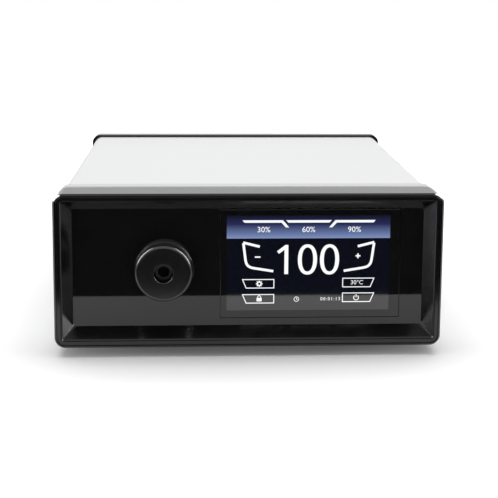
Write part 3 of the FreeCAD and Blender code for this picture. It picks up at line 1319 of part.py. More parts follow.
def power_rocker():
    half = ROCKER_HEIGHT / 2
    y0 = -ROCKER_THICK / 2
    y1 = ROCKER_THICK / 2
    points = ((y0, -half), (y1, -half), (y1 - ROCKER_DISH, 0), (y1, half), (y0, half))
    corners = [V(-ROCKER_WIDTH / 2, y, z) for y, z in points]
    outline = Part.makePolygon(corners + corners[:1])
    paddle = Part.Face(outline).extrude(V(ROCKER_WIDTH, 0, 0))
    reach = ROCKER_WIDTH / 2 + TRUNNION_REACH
    paddle = joined(paddle, rod_x(0, 0, TRUNNION_R, -reach, reach))
    paddle.rotate(V(0, 0, 0), V(1, 0, 0), -ROCKER_TILT)
    paddle.translate(V(INLET_X, ROCKER_Y, ROCKER_Z))
    return paddle


def earth_stud():
    z = MID_Z + STUD_RISE
    stud = rod_y(STUD_X, z, STUD_R, LIP_Y - SHEET - STUD_IN, LIP_Y + STUD_OUT)
    stud = stud.makeChamfer(STUD_R / 6, edges_at(stud, LIP_Y + STUD_OUT))
    outer = hexagon_y(STUD_X, z, STUD_NUT_R, LIP_Y, LIP_Y + STUD_NUT_THICK)
    inner = hexagon_y(STUD_X, z, STUD_NUT_R, LIP_Y - SHEET - STUD_NUT_THICK, LIP_Y - SHEET)
    return joined(stud, outer, inner)


def data_port():
    z = MID_Z + DATA_RISE
    y0 = LIP_Y - DATA_DEPTH
    y1 = LIP_Y + DATA_PROUD
    half_x = DATA_WIDTH / 2
    half_z = DATA_HEIGHT / 2
    shell = block(DATA_X - half_x, DATA_X + half_x, y0, y1, z - half_z, z + half_z)
    in_x = half_x - DATA_WALL
    in_z = half_z - DATA_WALL
    cavity = block(DATA_X - in_x, DATA_X + in_x, y0 + DATA_WALL, y1 + OVERRUN, z - in_z, z + in_z)
    half_x = DATA_TONGUE_WIDTH / 2
    half_z = DATA_TONGUE_HEIGHT / 2
    tongue = block(DATA_X - half_x, DATA_X + half_x, y0, y0 + DATA_TONGUE_DEPTH, z - half_z, z + half_z)
    return joined(shell.cut(cavity), tongue)


def jack_r():
    return JACK_BORE_R + JACK_WALL


def footswitch_jack():
    z = MID_Z + JACK_RISE
    barrel = rod_y(JACK_X, z, jack_r(), LIP_Y - JACK_DEPTH, LIP_Y + JACK_OUT)
    bore = rod_y(JACK_X, z, JACK_BORE_R, LIP_Y - JACK_DEPTH + JACK_WALL, LIP_Y + JACK_OUT + OVERRUN)
    nut = hexagon_y(JACK_X, z, JACK_NUT_R, LIP_Y, LIP_Y + JACK_NUT_THICK)
    nut = nut.cut(rod_y(JACK_X, z, jack_r() + SCREW_GAP, LIP_Y - OVERRUN, LIP_Y + JACK_NUT_THICK + OVERRUN))
    return Part.makeCompound([barrel.cut(bore), nut])


PIECES = [
    front_bezel, inset_frame, front_panel, rear_bezel, top_cover, base_tray, feet, foot_screws,
    case_screws, touch_glass, display_lcd, display_frame, display_posts, display_board,
    display_ribbon, port_flange, port_nut, port_ring, cam_plate, cam_screws, jaw_guide,
    guide_sleeve, optics_bracket, shutter_pin, shutter_flap, shutter_spring, interlock_sensor,
    lens_barrel, condenser_lens, lens_spacer, collimator_lens, lens_retainer, led_board,
    led_emitter, led_heatsink, sink_posts, led_fan_frame, led_fan_rotor, air_duct,
    rear_fan_frame, rear_fan_rotor, fan_guard, fan_screws, main_board, driver_board,
    supply_board, supply_cage, board_standoffs, rear_panel, mains_inlet, inlet_pins,
    fuse_drawer, fuses, power_rocker, earth_stud, data_port, footswitch_jack]


def write(name, shape):
    solids = single(shape)
    solids.exportStep("parts/" + name + ".step")
    print(name, len(shape.Solids), round(shape.Volume, 1), shape.isValid())


def build():
    os.makedirs("parts", exist_ok=True)
    for piece in PIECES:
        write(piece.__name__, piece())
    for index, angle in enumerate(jaw_angles()):
        write("jaw_" + str(index + 1), jaw(angle))


build()
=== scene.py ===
import json
import math

import bmesh
import bpy
from mathutils import Matrix, Vector


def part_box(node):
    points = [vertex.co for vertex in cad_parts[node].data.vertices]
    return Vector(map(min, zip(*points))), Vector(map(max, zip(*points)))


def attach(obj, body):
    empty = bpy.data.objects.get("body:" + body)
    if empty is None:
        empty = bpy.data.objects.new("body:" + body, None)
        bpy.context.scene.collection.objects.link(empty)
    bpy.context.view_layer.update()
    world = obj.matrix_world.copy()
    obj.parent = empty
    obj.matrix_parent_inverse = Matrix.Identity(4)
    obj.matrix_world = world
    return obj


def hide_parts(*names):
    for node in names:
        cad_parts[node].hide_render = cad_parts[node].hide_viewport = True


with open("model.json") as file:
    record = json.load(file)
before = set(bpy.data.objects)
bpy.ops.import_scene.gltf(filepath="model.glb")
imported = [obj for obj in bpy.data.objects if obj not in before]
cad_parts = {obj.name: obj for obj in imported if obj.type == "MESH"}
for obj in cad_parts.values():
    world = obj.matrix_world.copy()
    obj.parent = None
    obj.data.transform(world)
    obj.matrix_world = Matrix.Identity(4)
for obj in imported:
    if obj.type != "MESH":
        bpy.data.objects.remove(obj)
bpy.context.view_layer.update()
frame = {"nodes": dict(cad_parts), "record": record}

# One millimetre in metres
MM = 0.001


def low(node):
    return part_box(node)[0]


def high(node):
    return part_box(node)[1]


def middle(node):
    return (low(node) + high(node)) / 2


CASE_LOW = low("front_bezel")
CASE_HIGH = high("front_bezel")
WIDTH = CASE_HIGH.x - CASE_LOW.x
HEIGHT = CASE_HIGH.z - CASE_LOW.z
MID_Z = (CASE_HIGH.z + CASE_LOW.z) / 2
FRONT = CASE_LOW.y
REAR = high("rear_bezel").y
PANEL_Y = low("front_panel").y
PORT = middle("port_ring")
SCREEN = middle("touch_glass")
SCREEN.y = PANEL_Y


# Shader arithmetic
class Signal:
    """A shader socket that takes part in plain arithmetic."""

    def __init__(self, nodes, socket):
        self.nodes = nodes
        self.socket = socket

    def __add__(self, other):
        return self.nodes.maths("ADD", self, other)

    def __sub__(self, other):
        return self.nodes.maths("SUBTRACT", self, other)

    def __rsub__(self, other):
        return self.nodes.maths("SUBTRACT", other, self)

    def __mul__(self, other):
        return self.nodes.maths("MULTIPLY", self, other)

    def __gt__(self, other):
        return self.nodes.maths("GREATER_THAN", self, other)

    __radd__ = __add__
    __rmul__ = __mul__


class Nodes:
    """A shader's node tree, in which every node is made by one method."""

    def __init__(self, tree):
        self.tree = tree

    def node(self, kind, settings=None, values=None, output=0):
        made = self.tree.nodes.new("ShaderNode" + kind)
        for name, value in (settings or {}).items():
            if name == "stops":
                self.set_stops(made.color_ramp, value)
            else:
                setattr(made, name, value)
        for socket, value in (values or {}).items():
            self.feed(made.inputs[socket], value)
        return Signal(self, made.outputs[output]) if len(made.outputs) else None

    def set_stops(self, ramp, stops):
        while len(ramp.elements) < len(stops):
            ramp.elements.new(1.0)
        for element, (place, colour) in zip(ramp.elements, stops):
            element.position = place
            element.color = rgba(colour)

    def feed(self, socket, value):
        if isinstance(value, Signal):
            self.tree.links.new(value.socket, socket)
        else:
            socket.default_value = value

    def maths(self, operation, *values):
        return self.node("Math", {"operation": operation}, dict(enumerate(values)))


class Finish(Nodes):
    """One material: a Principled shader and the nodes that vary it over the surface."""

    def __init__(self, name, **constants):
        self.material = bpy.data.materials.new(name)
        self.material.use_nodes = True
        super().__init__(self.material.node_tree)
        self.shader = self.tree.nodes["Principled BSDF"]
        self.place = self.node("TexCoord", output="Object")
        for socket, value in constants.items():
            self.shader.inputs[socket.replace("_", " ")].default_value = value

    def clamp(self, value):
        return self.node("Clamp", values={"Value": value})

    def along(self, axis):
        return self.node("SeparateXYZ", values={"Vector": self.place}, output=axis)

    def noise(self, size_mm, detail=3.0, roughness=0.55, distortion=0.0, stretch=None):
        where = self.place
        if stretch:
            where = self.node("Mapping", values={"Vector": self.place, "Scale": stretch})
        values = {"Vector": where, "Scale": 1 / (size_mm * MM), "Detail": detail}
        values.update({"Roughness": roughness, "Distortion": distortion})
        return self.node("TexNoise", values=values)

    def spread(self, value, start, end):
        """Nought at the start value, one at the end value."""
        return self.node("MapRange", values={"Value": value, "From Min": start, "From Max": end})

    def tint(self, factor, first, last):
        values = {0: factor, 6: rgba(first), 7: rgba(last)}
        return self.node("Mix", {"data_type": "RGBA"}, values, output=2)

    def bump(self, height, depth_mm):
        return self.node("Bump", values={"Height": height, "Distance": depth_mm * MM})

    def wear(self, **links):
        for socket, value in links.items():
            self.feed(self.shader.inputs[socket.replace("_", " ")], value)
        return self.material


def rgba(colour):
    if isinstance(colour, Signal):
        return colour
    if isinstance(colour, (int, float)):
        colour = (colour, colour, colour)
    return (*colour, 1.0)


def moulded_plastic(name, colour, gloss, grain_mm, grain_depth_mm, shine=0.5):
    """Injection moulded plastic: even colour, a fine spark grain and faint handling marks."""
    finish = Finish(name, Specular_IOR_Level=shine)
    flow = finish.noise(60, detail=2)
    grain = finish.noise(grain_mm, detail=2)
    smudge = finish.spread(finish.noise(28, detail=4, distortion=0.6), 0.45, 0.75)
    darker = tuple(part * 0.82 for part in colour)
    lighter = tuple(part * 1.22 + 0.0012 for part in colour)
    return finish.wear(
        Base_Color=finish.tint(flow * 0.6 + grain * 0.4, darker, lighter),
        Roughness=finish.clamp(gloss + grain * 0.04 + smudge * 0.05),
        Normal=finish.bump(grain, grain_depth_mm),
    )


def polished_black(name, colour, gloss, ripple_mm=0.004):
    """Deep black sheet with a polished face, nearly flat, with faint dust and wiping marks."""
    finish = Finish(name, Specular_IOR_Level=0.5)
    wave = finish.noise(45, detail=1)
    wipe = finish.spread(finish.noise(20, detail=5, distortion=1.4, stretch=(1.0, 1.0, 3.0)), 0.5, 0.8)
    dust = finish.spread(finish.noise(0.7, detail=1), 0.78, 0.84)
    return finish.wear(
        Base_Color=finish.tint(finish.clamp(dust * 0.6 + wipe * 0.12), colour, 0.03),
        Roughness=finish.clamp(gloss + wipe * 0.03 + dust * 0.2),
        Normal=finish.bump(wave, ripple_mm),
    )


def satin_paint(name, colour, gloss, grain_mm, grain_depth_mm):
    """Baked paint on sheet metal: a fine orange peel, slightly mottled."""
    finish = Finish(name, Specular_IOR_Level=0.2)
    peel = finish.noise(grain_mm, detail=2)
    cloud = finish.noise(90, detail=3)
    speck = finish.spread(finish.noise(0.5, detail=1), 0.74, 0.8)
    shade = tuple(part * 0.965 for part in colour)
    body = finish.tint(cloud * 0.7 + peel * 0.3, shade, colour)
    return finish.wear(
        Base_Color=finish.tint(speck * 0.35, body, tuple(part * 0.8 for part in colour)),
        Roughness=finish.clamp(gloss + peel * 0.08 + cloud * 0.05),
        Normal=finish.bump(peel, grain_depth_mm),
    )


def bare_metal(name, colour, gloss, brush=(1.0, 1.0, 1.0), brush_mm=0.6, depth_mm=0.006):
    """Worked metal: brushing or milling along the axis whose stretch is small, and dull patches."""
    finish = Finish(name, Metallic=1.0)
    lines = finish.noise(brush_mm, detail=2, stretch=brush)
    patch = finish.spread(finish.noise(16, detail=4), 0.35, 0.7)
    dark = tuple(part * 0.78 for part in colour)
    return finish.wear(
        Base_Color=finish.tint(finish.clamp(patch * 0.5 + lines * 0.5), dark, colour),
        Roughness=finish.clamp(gloss + lines * 0.12 + patch * 0.1 - 0.08),
        Normal=finish.bump(lines, depth_mm),
    )


def zinc_plate(name):
    """Zinc plated sheet with its blotchy crystals and a faint blue cast."""
    finish = Finish(name, Metallic=1.0)
    cells = {"Vector": finish.place, "Scale": 1 / (7 * MM)}
    spangle = finish.node("TexVoronoi", values=cells, output="Color")
    shade = finish.node("SeparateColor", values={"Color": spangle})
    film = finish.noise(30, detail=4)
    return finish.wear(
        Base_Color=finish.tint(shade * 0.5 + film * 0.5, (0.44, 0.46, 0.48), (0.66, 0.67, 0.66)),
        Roughness=finish.clamp(0.26 + shade * 0.1 + film * 0.12),
        Normal=finish.bump(finish.noise(1.2, detail=3), 0.01),
    )


def anodised(name, colour, gloss, blast_mm=0.35, depth_mm=0.003):
    """Anodised aluminium: a bead blasted face under a hard dark skin."""
    finish = Finish(name, Specular_IOR_Level=0.8)
    blast = finish.noise(blast_mm, detail=1)
    cloud = finish.noise(12, detail=3)
    pale = tuple(part * 1.7 + 0.004 for part in colour)
    return finish.wear(
        Base_Color=finish.tint(finish.clamp(blast * 0.5 + cloud * 0.3), colour, pale),
        Roughness=finish.clamp(gloss + blast * 0.1 + cloud * 0.04),
        Normal=finish.bump(blast, depth_mm),
    )


def rubber(name):
    """Black rubber with a dusty bloom on a fine pebble."""
    finish = Finish(name, Specular_IOR_Level=0.35)
    pebble = finish.noise(0.8, detail=3)
    bloom = finish.spread(finish.noise(9, detail=4), 0.4, 0.8)
    return finish.wear(
        Base_Color=finish.tint(bloom * 0.6 + pebble * 0.2, (0.012, 0.012, 0.013), (0.05, 0.05, 0.052)),
        Roughness=finish.clamp(0.68 + pebble * 0.16),
        Normal=finish.bump(pebble, 0.05),
    )


def clear_glass(name, colour):
    """Clear glass with a slight tint, cleaner in places."""
    finish = Finish(name, Transmission_Weight=1.0, IOR=1.5)
    film = finish.noise(9, detail=3)
    return finish.wear(
        Base_Color=finish.tint(film, colour, 0.98),
        Roughness=finish.clamp(0.01 + film * 0.03),
    )


def circuit_board(name, top_z):
    """Green lacquered board with paler tracks; above a height, patches of dark plastic and grey cans."""
    finish = Finish(name, Specular_IOR_Level=0.5)
    grid = {"Vector": finish.place, "Scale": 1 / (5 * MM), "Mortar Size": 0.02, "Bias": 0.0}
    grid.update({"Color1": rgba(0.2), "Color2": rgba(0.8), "Mortar": rgba(1.0)})
    tracks = finish.node("TexBrick", {"offset": 0.5}, grid)
    weave = finish.noise(0.9, detail=2)
    line = finish.node("SeparateColor", values={"Color": tracks})
    board = finish.tint(line * 0.6 + weave * 0.2, (0.012, 0.085, 0.035), (0.03, 0.2, 0.08))
    tone = finish.tint(finish.noise(13, detail=0) > 0.52, (0.02, 0.02, 0.022), (0.12, 0.13, 0.15))
    return finish.wear(
        Base_Color=finish.tint(finish.along("Z") > top_z, board, tone),
        Roughness=finish.clamp(0.32 + weave * 0.18),
        Normal=finish.bump(weave + line * 0.5, 0.02),
    )


def phosphor(name):
    """Yellow phosphor dome on a pale carrier."""
    finish = Finish(name, Coat_Weight=0.4, Coat_Roughness=0.1)
    grain = finish.noise(0.4, detail=2)
    return finish.wear(
        Base_Color=finish.tint(grain, (0.78, 0.58, 0.08), (0.9, 0.78, 0.3)),
        Roughness=finish.clamp(0.35 + grain * 0.2),
        Normal=finish.bump(grain, 0.01),
    )


def lit_pixels(name, strength, light):
    """Backlit liquid crystal under bonded glass: the glass gives the gloss, the light comes from behind."""
    finish = Finish(name, IOR=1.75, Emission_Strength=strength, Specular_Tint=(1.0, 0.95, 0.9, 1.0))
    dots = finish.noise(0.18, detail=0)
    return finish.wear(
        Base_Color=finish.tint(dots, 0.004, 0.007),
        Roughness=finish.clamp(0.04 + dots * 0.02),
        Emission_Color=light(finish, dots),
    )


def even_light(colour):
    """Light of one colour, slightly weaker between the dots."""
    shade = tuple(part * 0.93 for part in colour)
    return lambda finish, dots: finish.tint(dots, shade, colour)


# Mesh making
def finished(bm, name, finish, body="root", angle=32.0, weigh=True):
    """The mesh as an object at the origin, smooth apart from edges sharper than the angle."""
    bmesh.ops.remove_doubles(bm, verts=bm.verts, dist=1e-6)
    bmesh.ops.recalc_face_normals(bm, faces=bm.faces)
    mesh = bpy.data.meshes.new(name)
    bm.to_mesh(mesh)
    bm.free()
    for face in mesh.polygons:
        face.use_smooth = True
    mesh.set_sharp_from_angle(angle=math.radians(angle))
    piece = bpy.data.objects.new(name, mesh)
    bpy.context.scene.collection.objects.link(piece)
    mesh.materials.append(finish)
    if weigh:
        normals = piece.modifiers.new("even_normals", "WEIGHTED_NORMAL")
        normals.keep_sharp = True
    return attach(piece, body)


def rounded_edges(bm, shape, centre, segments):
    """The edges of an upright rounded rectangle: its width, height, corner radius and y."""
    width, height, corner, y = shape
    before = set(bm.faces)
    verts = bmesh.ops.create_grid(bm, x_segments=1, y_segments=1, size=0.5)["verts"]
    place = Matrix.Translation((centre[0], y, centre[1])) @ Matrix.Rotation(math.pi / 2, 4, "X")
    bmesh.ops.transform(bm, matrix=place @ Matrix.Diagonal((width, height, 1, 1)), verts=verts)
    cut = dict(offset=corner, segments=segments, profile=0.5, affect="VERTICES", material=-1)
    bmesh.ops.bevel(bm, geom=verts, clamp_overlap=True, **cut)
    new = [face for face in bm.faces if face not in before]
    edges = list({edge for face in new for edge in face.edges})
    bmesh.ops.delete(bm, geom=new, context="FACES_ONLY")
    return edges


def carried(point, old, new, centre):
    """A point of one rounded rectangle, taken to the like place on another."""
    moved = []
    for axis, index in ((0, 0), (2, 1)):
        offset = point[axis] - centre[index]
        side = math.copysign(1, offset)
        turn = (offset - side * (old[index] / 2 - old[2])) / old[2]
        moved.append(centre[index] + side * (new[index] / 2 - new[2]) + turn * new[2])
    return Vector((moved[0], new[3], moved[1]))


def loft(bm, shapes, closed=False, centre=(0, MID_Z), segments=10):
    """Walls through upright rounded rectangles; gives back the edges of each."""
    rings = [rounded_edges(bm, shapes[0], centre, segments)]
    for old, new in zip(shapes, shapes[1:]):
        made = bmesh.ops.extrude_edge_only(bm, edges=rings[-1])["geom"]
        verts = {one for one in made if isinstance(one, bmesh.types.BMVert)}
        for vert in verts:
            vert.co = carried(vert.co, old, new, centre)
        edges = [one for one in made if isinstance(one, bmesh.types.BMEdge)]
        rings.append([edge for edge in edges if verts.issuperset(edge.verts)])
    if closed:
        bmesh.ops.bridge_loops(bm, edges=rings[-1] + rings[0])
    bmesh.ops.recalc_face_normals(bm, faces=bm.faces)
    return rings


def soften(bm, edges, offset, segments=5):
    cut = dict(offset_type="OFFSET", segments=segments, profile=0.5, affect="EDGES", material=-1)
    live = [edge for edge in edges if edge.is_valid]
    return bmesh.ops.bevel(bm, geom=live, offset=offset, clamp_overlap=True, **cut)


def turned(bm, outline, centre, steps=96):
    """A closed outline of (radius, y) points turned about an axis along Y."""
    verts = [bm.verts.new((centre.x + radius, y, centre.z)) for radius, y in outline]
    edges = [bm.edges.new(pair) for pair in zip(verts, verts[1:] + verts[:1])]
    axis = dict(cent=(centre.x, 0, centre.z), axis=(0, 1, 0), angle=2 * math.pi)
    bmesh.ops.spin(bm, geom=verts + edges, steps=steps, use_merge=True, use_duplicate=False, **axis)


def arc(centre_r, centre_y, radius, start, end, steps=6):
    """Points of a round edge in an outline, from one angle to another in degrees."""
    points = []
    for step in range(steps + 1):
        turn = math.radians(start + (end - start) * step / steps)
        points.append((centre_r + radius * math.cos(turn), centre_y + radius * math.sin(turn)))
    return points


# Case
COVER = high("top_cover") - low("top_cover")
BEZEL_CORNER = 9.5 * MM
BEZEL_EDGE = 1.5 * MM
FINE_EDGE = 0.2 * MM
BACK_EDGE = 0.25 * MM
REAR_MOUTH_EDGE = 0.9 * MM
GROOVE_DEPTH = 1.4 * MM
GROOVE_OUTER = 2.0 * MM
GROOVE_INNER = 2.9 * MM
GROOVE_LEAN = 0.1 * MM
INSET_GAP = 0.2 * MM
OPENING_WIDTH = high("inset_frame").x * 2 + 2 * INSET_GAP
OPENING_HEIGHT = high("inset_frame").z - low("inset_frame").z + 2 * INSET_GAP
OPENING_CORNER = 2.8 * MM
OPENING = (OPENING_WIDTH, OPENING_HEIGHT, OPENING_CORNER)
MOUTH_FACE = 0.3 * MM
MOUTH_BEVEL = 0.9 * MM
MOUTH_CORNER = 0.5 * MM
SLOPE_SIDE = 9.65 * MM
SLOPE_TOP = 10.0 * MM
SLOPE_CORNER = 2.8 * MM
SLOPE_LEDGE = 2.0 * MM
SLOPE_WALL = 2.5 * MM
SLOPE_EDGE = 0.12 * MM
COVER_STEP = 3.0 * MM
COVER_CORNER = 9.0 * MM
COVER_WALL = 1.5 * MM
COLLAR = 14.0 * MM
COLLAR_GAP = 0.4 * MM
SEAT_GAP = 0.3 * MM
FRONT_BAND = 31.0 * MM
TAPER_DROP = 0.9 * MM
REAR_SHEET = 1.5 * MM
REBATE_WIDTH = COVER.x + 2 * SEAT_GAP
REBATE_HEIGHT = HEIGHT - 2 * COVER_STEP + 2 * SEAT_GAP
REBATE = (REBATE_WIDTH, REBATE_HEIGHT, COVER_CORNER + SEAT_GAP)
REBATE_Y = low("base_tray").y
BEZEL_BACK = CASE_HIGH.y
LIP_Y = low("rear_panel").y + REAR_SHEET
REAR_EDGE = low("rear_bezel").y


def drawn_in(outline, inset):
    """A rounded rectangle, given as width, height and corner, drawn in by a distance."""
    width, height, corner = outline
    return (width - 2 * inset, height - 2 * inset, corner - inset)


def case_outline(inset):
    return drawn_in((WIDTH, HEIGHT, BEZEL_CORNER), inset)


def front_bezel(finish):
    """A frame with a bevelled outer edge and a fine groove round its face."""
    bm = bmesh.new()
    full = case_outline(0)
    rim = FRONT + GROOVE_LEAN
    floor = FRONT + GROOVE_DEPTH
    shapes = [
        (*OPENING, FRONT),
        (*case_outline(GROOVE_INNER), FRONT),
        (*case_outline(GROOVE_INNER - GROOVE_LEAN), floor),
        (*case_outline(GROOVE_OUTER + GROOVE_LEAN), floor),
        (*case_outline(GROOVE_OUTER), rim),
        (*full, rim),
        (*full, FRONT + FRONT_BAND),
        (*case_outline(TAPER_DROP), BEZEL_BACK),
        (*REBATE, BEZEL_BACK),
        (*REBATE, REBATE_Y),
        (*OPENING, REBATE_Y),
    ]
    rings = loft(bm, shapes, closed=True)
    soften(bm, rings[5], BEZEL_EDGE, 1)
    soften(bm, rings[0] + rings[1] + rings[4], FINE_EDGE, 3)
    soften(bm, rings[6] + rings[7], BACK_EDGE, 3)
    piece = finished(bm, "front_bezel_shell", finish)
    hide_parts("front_bezel")


def rear_bezel(finish):
    """The shallow frame round the back, with a rounded mouth."""
    bm = bmesh.new()
    full = case_outline(0)
    shapes = [
        (*OPENING, REAR),
        (*full, REAR),
        (*full, REAR_EDGE),
        (*REBATE, REAR_EDGE),
        (*REBATE, LIP_Y),
        (*OPENING, LIP_Y),
    ]
    rings = loft(bm, shapes, closed=True)
    soften(bm, rings[1], BEZEL_EDGE, 1)
    soften(bm, rings[0], REAR_MOUTH_EDGE, 6)
    soften(bm, rings[2], BACK_EDGE, 3)
    piece = finished(bm, "rear_bezel_shell", finish)
    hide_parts("rear_bezel")


def inset_frame(finish):
    """The four slopes from the bezel's mouth down to the panel, in one moulding."""
    start = low("inset_frame").y
    outer = drawn_in(OPENING, INSET_GAP)
    face = drawn_in(outer, MOUTH_FACE)
    mouth = (*drawn_in(face, MOUTH_BEVEL)[:2], MOUTH_CORNER)
    seen = (OPENING_WIDTH - 2 * SLOPE_SIDE, OPENING_HEIGHT - 2 * SLOPE_TOP, SLOPE_CORNER)
    back = drawn_in(seen, -SLOPE_LEDGE)
    bm = bmesh.new()
    shapes = [
        (*outer, start),
        (*face, start),
        (*mouth, start + MOUTH_BEVEL),
        (*seen, PANEL_Y),
        (*back, PANEL_Y),
        (*outer, start + SLOPE_WALL),
    ]
    rings = loft(bm, shapes, closed=True)
    soften(bm, rings[0] + rings[1] + rings[2], SLOPE_EDGE, 3)
    piece = finished(bm, "inset_frame_shell", finish)
    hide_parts("inset_frame")


def folded_sheet(bm, half_width, top, corner, start, end, wall):
    """Sheet open below: half an outline bent over its two upper corners."""
    x, bottom = half_width, low("top_cover").z
    before = set(bm.verts)
    corners = ((-x, bottom), (-x, top), (x, top), (x, bottom))
    path = [bm.verts.new((across, start, up)) for across, up in corners]
    edges = [bm.edges.new(pair) for pair in zip(path, path[1:])]
    cut = dict(offset=corner, segments=14, profile=0.5, affect="VERTICES", material=-1)
    bmesh.ops.bevel(bm, geom=path[1:3], clamp_overlap=True, **cut)
    line = [edge for edge in bm.edges if not before.intersection(edge.verts)]
    made = bmesh.ops.extrude_edge_only(bm, edges=line)["geom"]
    moved = [one for one in made if isinstance(one, bmesh.types.BMVert)]
    bmesh.ops.translate(bm, verts=moved, vec=(0, end - start, 0))
    sheet = [one for one in made if isinstance(one, bmesh.types.BMFace)]
    bmesh.ops.recalc_face_normals(bm, faces=sheet)
    highest = max(sheet, key=lambda one: one.calc_center_median().z)
    if highest.normal.z < 0:
        bmesh.ops.reverse_faces(bm, faces=sheet)
    bmesh.ops.solidify(bm, geom=sheet, thickness=wall)


def cover_collar(finish):
    """The collar that stands up round the cover behind the bezel."""
    collar = case_outline(TAPER_DROP)
    top = MID_Z + collar[1] / 2
    rise = top - high("top_cover").z
    bm = bmesh.new()
    start, end = BEZEL_BACK + COLLAR_GAP, BEZEL_BACK + COLLAR
    folded_sheet(bm, collar[0] / 2, top, collar[2], start, end, rise)
    finished(bm, "cover_front_collar", finish)


def top_cover(finish):
    start, end = low("top_cover").y, high("top_cover").y
    bm = bmesh.new()
    folded_sheet(bm, high("top_cover").x, high("top_cover").z, COVER_CORNER, start, end, COVER_WALL)
    piece = finished(bm, "top_cover_sheet", finish)
    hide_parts("top_cover")


# Light guide port
KNOB_R = (high("port_ring").x - low("port_ring").x) / 2
KNOB_GAP = 2.3 * MM
KNOB_BACK = PANEL_Y - KNOB_GAP
KNOB_EDGE = 2.8 * MM
KNOB_BACK_EDGE = 0.6 * MM
BORE_R = 7.05 * MM
FUNNEL_DEPTH = 5.0 * MM
FUNNEL_LOW_R = 7.2 * MM
FUNNEL_R = 8.6 * MM
FUNNEL_LIP = 0.5 * MM
HUB_R = 13.6 * MM
HUB_GAP = 0.05 * MM
FLANGE_EDGE = 0.6 * MM
FLANGE_NECK = 3.4 * MM


def port_ring(finish):
    """The knob: a funnel in its middle, a round rim and a hub behind."""
    end = high("port_ring").y
    step = FRONT + FUNNEL_DEPTH
    outline = [(BORE_R, end), (BORE_R, step), (FUNNEL_LOW_R, step)]
    outline += arc(FUNNEL_R + FUNNEL_LIP, FRONT + FUNNEL_LIP, FUNNEL_LIP, 180, 270, 4)
    outline += arc(KNOB_R - KNOB_EDGE, FRONT + KNOB_EDGE, KNOB_EDGE, 270, 360, 10)
    outline += arc(KNOB_R - KNOB_BACK_EDGE, KNOB_BACK - KNOB_BACK_EDGE, KNOB_BACK_EDGE, 0, 90, 4)
    outline += [(HUB_R, KNOB_BACK), (HUB_R, end)]
    bm = bmesh.new()
    turned(bm, outline, PORT)
    piece = finished(bm, "port_ring_knob", finish, "port_knob")
    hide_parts("port_ring")


def port_flange(finish):
    outer = (high("port_flange").x - low("port_flange").x) / 2
    top = low("port_flange").y
    end = high("port_flange").y
    bore = HUB_R + HUB_GAP
    neck = bore + FLANGE_NECK
    outline = [(bore, end), (bore, top)]
    outline += arc(outer - FLANGE_EDGE, top + FLANGE_EDGE, FLANGE_EDGE, 270, 360, 5)
    outline += [(outer, PANEL_Y), (neck, PANEL_Y), (neck, end)]
    bm = bmesh.new()
    turned(bm, outline, PORT)
    piece = finished(bm, "port_flange_ring", finish)
    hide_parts("port_flange")


# Display
GLASS = high("touch_glass") - low("touch_glass")
LIT_WIDTH = 149.0 * MM
LIT_HEIGHT = 88.8 * MM
LIT_X = -2.0 * MM
LIT_Z = 0.2 * MM
BAND_HEIGHT = 21.4 * MM
LAYER = 0.03 * MM
GLASS_DROP = 1.2 * MM
GLASS_CORNER = 1.5 * MM
GLASS_EDGE = 0.45 * MM
FIELD_CORNER = 0.3 * MM
BAND_CORNER = 0.1 * MM
# The blue band's light from its top edge down
BAND_SHADES = (
    (0.0, (0.003, 0.004, 0.013)),
    (0.4, (0.02, 0.022, 0.085)),
    (0.8, (0.125, 0.175, 0.35)),
    (1.0, (0.21, 0.27, 0.5)),
)
MARKS_X = -1.7 * MM
# Line widths and the bend of the marks, in millimetres
BRACKET_LINE = 2.3
BRACKET_TURN = 6.0
SIGN_LINE = 1.3
BUTTON_LINE = 0.8
# How tall a figure is as a share of its font's size
FIGURE_SHARE = 0.7


def touch_glass(finish):
    bm = bmesh.new()
    back = high("touch_glass").y
    size = (GLASS.x, GLASS.z - GLASS_DROP, GLASS_CORNER)
    centre = (SCREEN.x, SCREEN.z - GLASS_DROP / 2)
    rings = loft(bm, [(*size, PANEL_Y), (*size, back)], centre=centre)
    bmesh.ops.contextual_create(bm, geom=rings[0])
    bmesh.ops.contextual_create(bm, geom=rings[1])
    soften(bm, rings[0], GLASS_EDGE, 4)
    piece = finished(bm, "touch_glass_cover", finish)
    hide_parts("touch_glass")


def thin_plate(bm, size, centre, y0, y1):
    """A thin upright plate between two depths, given its width, height and corner."""
    rings = loft(bm, [(*size, y0), (*size, y1)], centre=centre, segments=4)
    for ring in rings:
        bmesh.ops.contextual_create(bm, geom=ring)


def lit_area(finish):
    """The dark lit field under the marks."""
    bm = bmesh.new()
    centre = (SCREEN.x + LIT_X, SCREEN.z + LIT_Z)
    size = (LIT_WIDTH, LIT_HEIGHT, FIELD_CORNER)
    thin_plate(bm, size, centre, PANEL_Y - LAYER, PANEL_Y + LAYER)
    piece = finished(bm, "display_image_field", finish, weigh=False)


def softened(points, cut, steps=4):
    """The path with each inner corner replaced by a short curve."""
    path = [Vector(point) for point in points]
    smooth = [path[0]]
    for before, corner, after in zip(path, path[1:], path[2:]):
        first = corner + (before - corner).normalized() * cut
        last = corner + (after - corner).normalized() * cut
        for step in range(steps + 1):
            share = step / steps
            smooth.append(first.lerp(corner, share).lerp(corner.lerp(last, share), share))
    return smooth + [path[-1]]


def mitred(before, point, after, reach):
    """How far a corner of a line moves to its left when the line does."""
    first = (point - before).normalized() if before else (after - point).normalized()
    last = (after - point).normalized() if after else first
    sides = Vector((-first.y, first.x)), Vector((-last.y, last.x))
    return (sides[0] + sides[1]) * (reach / max(1 + sides[0].dot(sides[1]), 0.3))


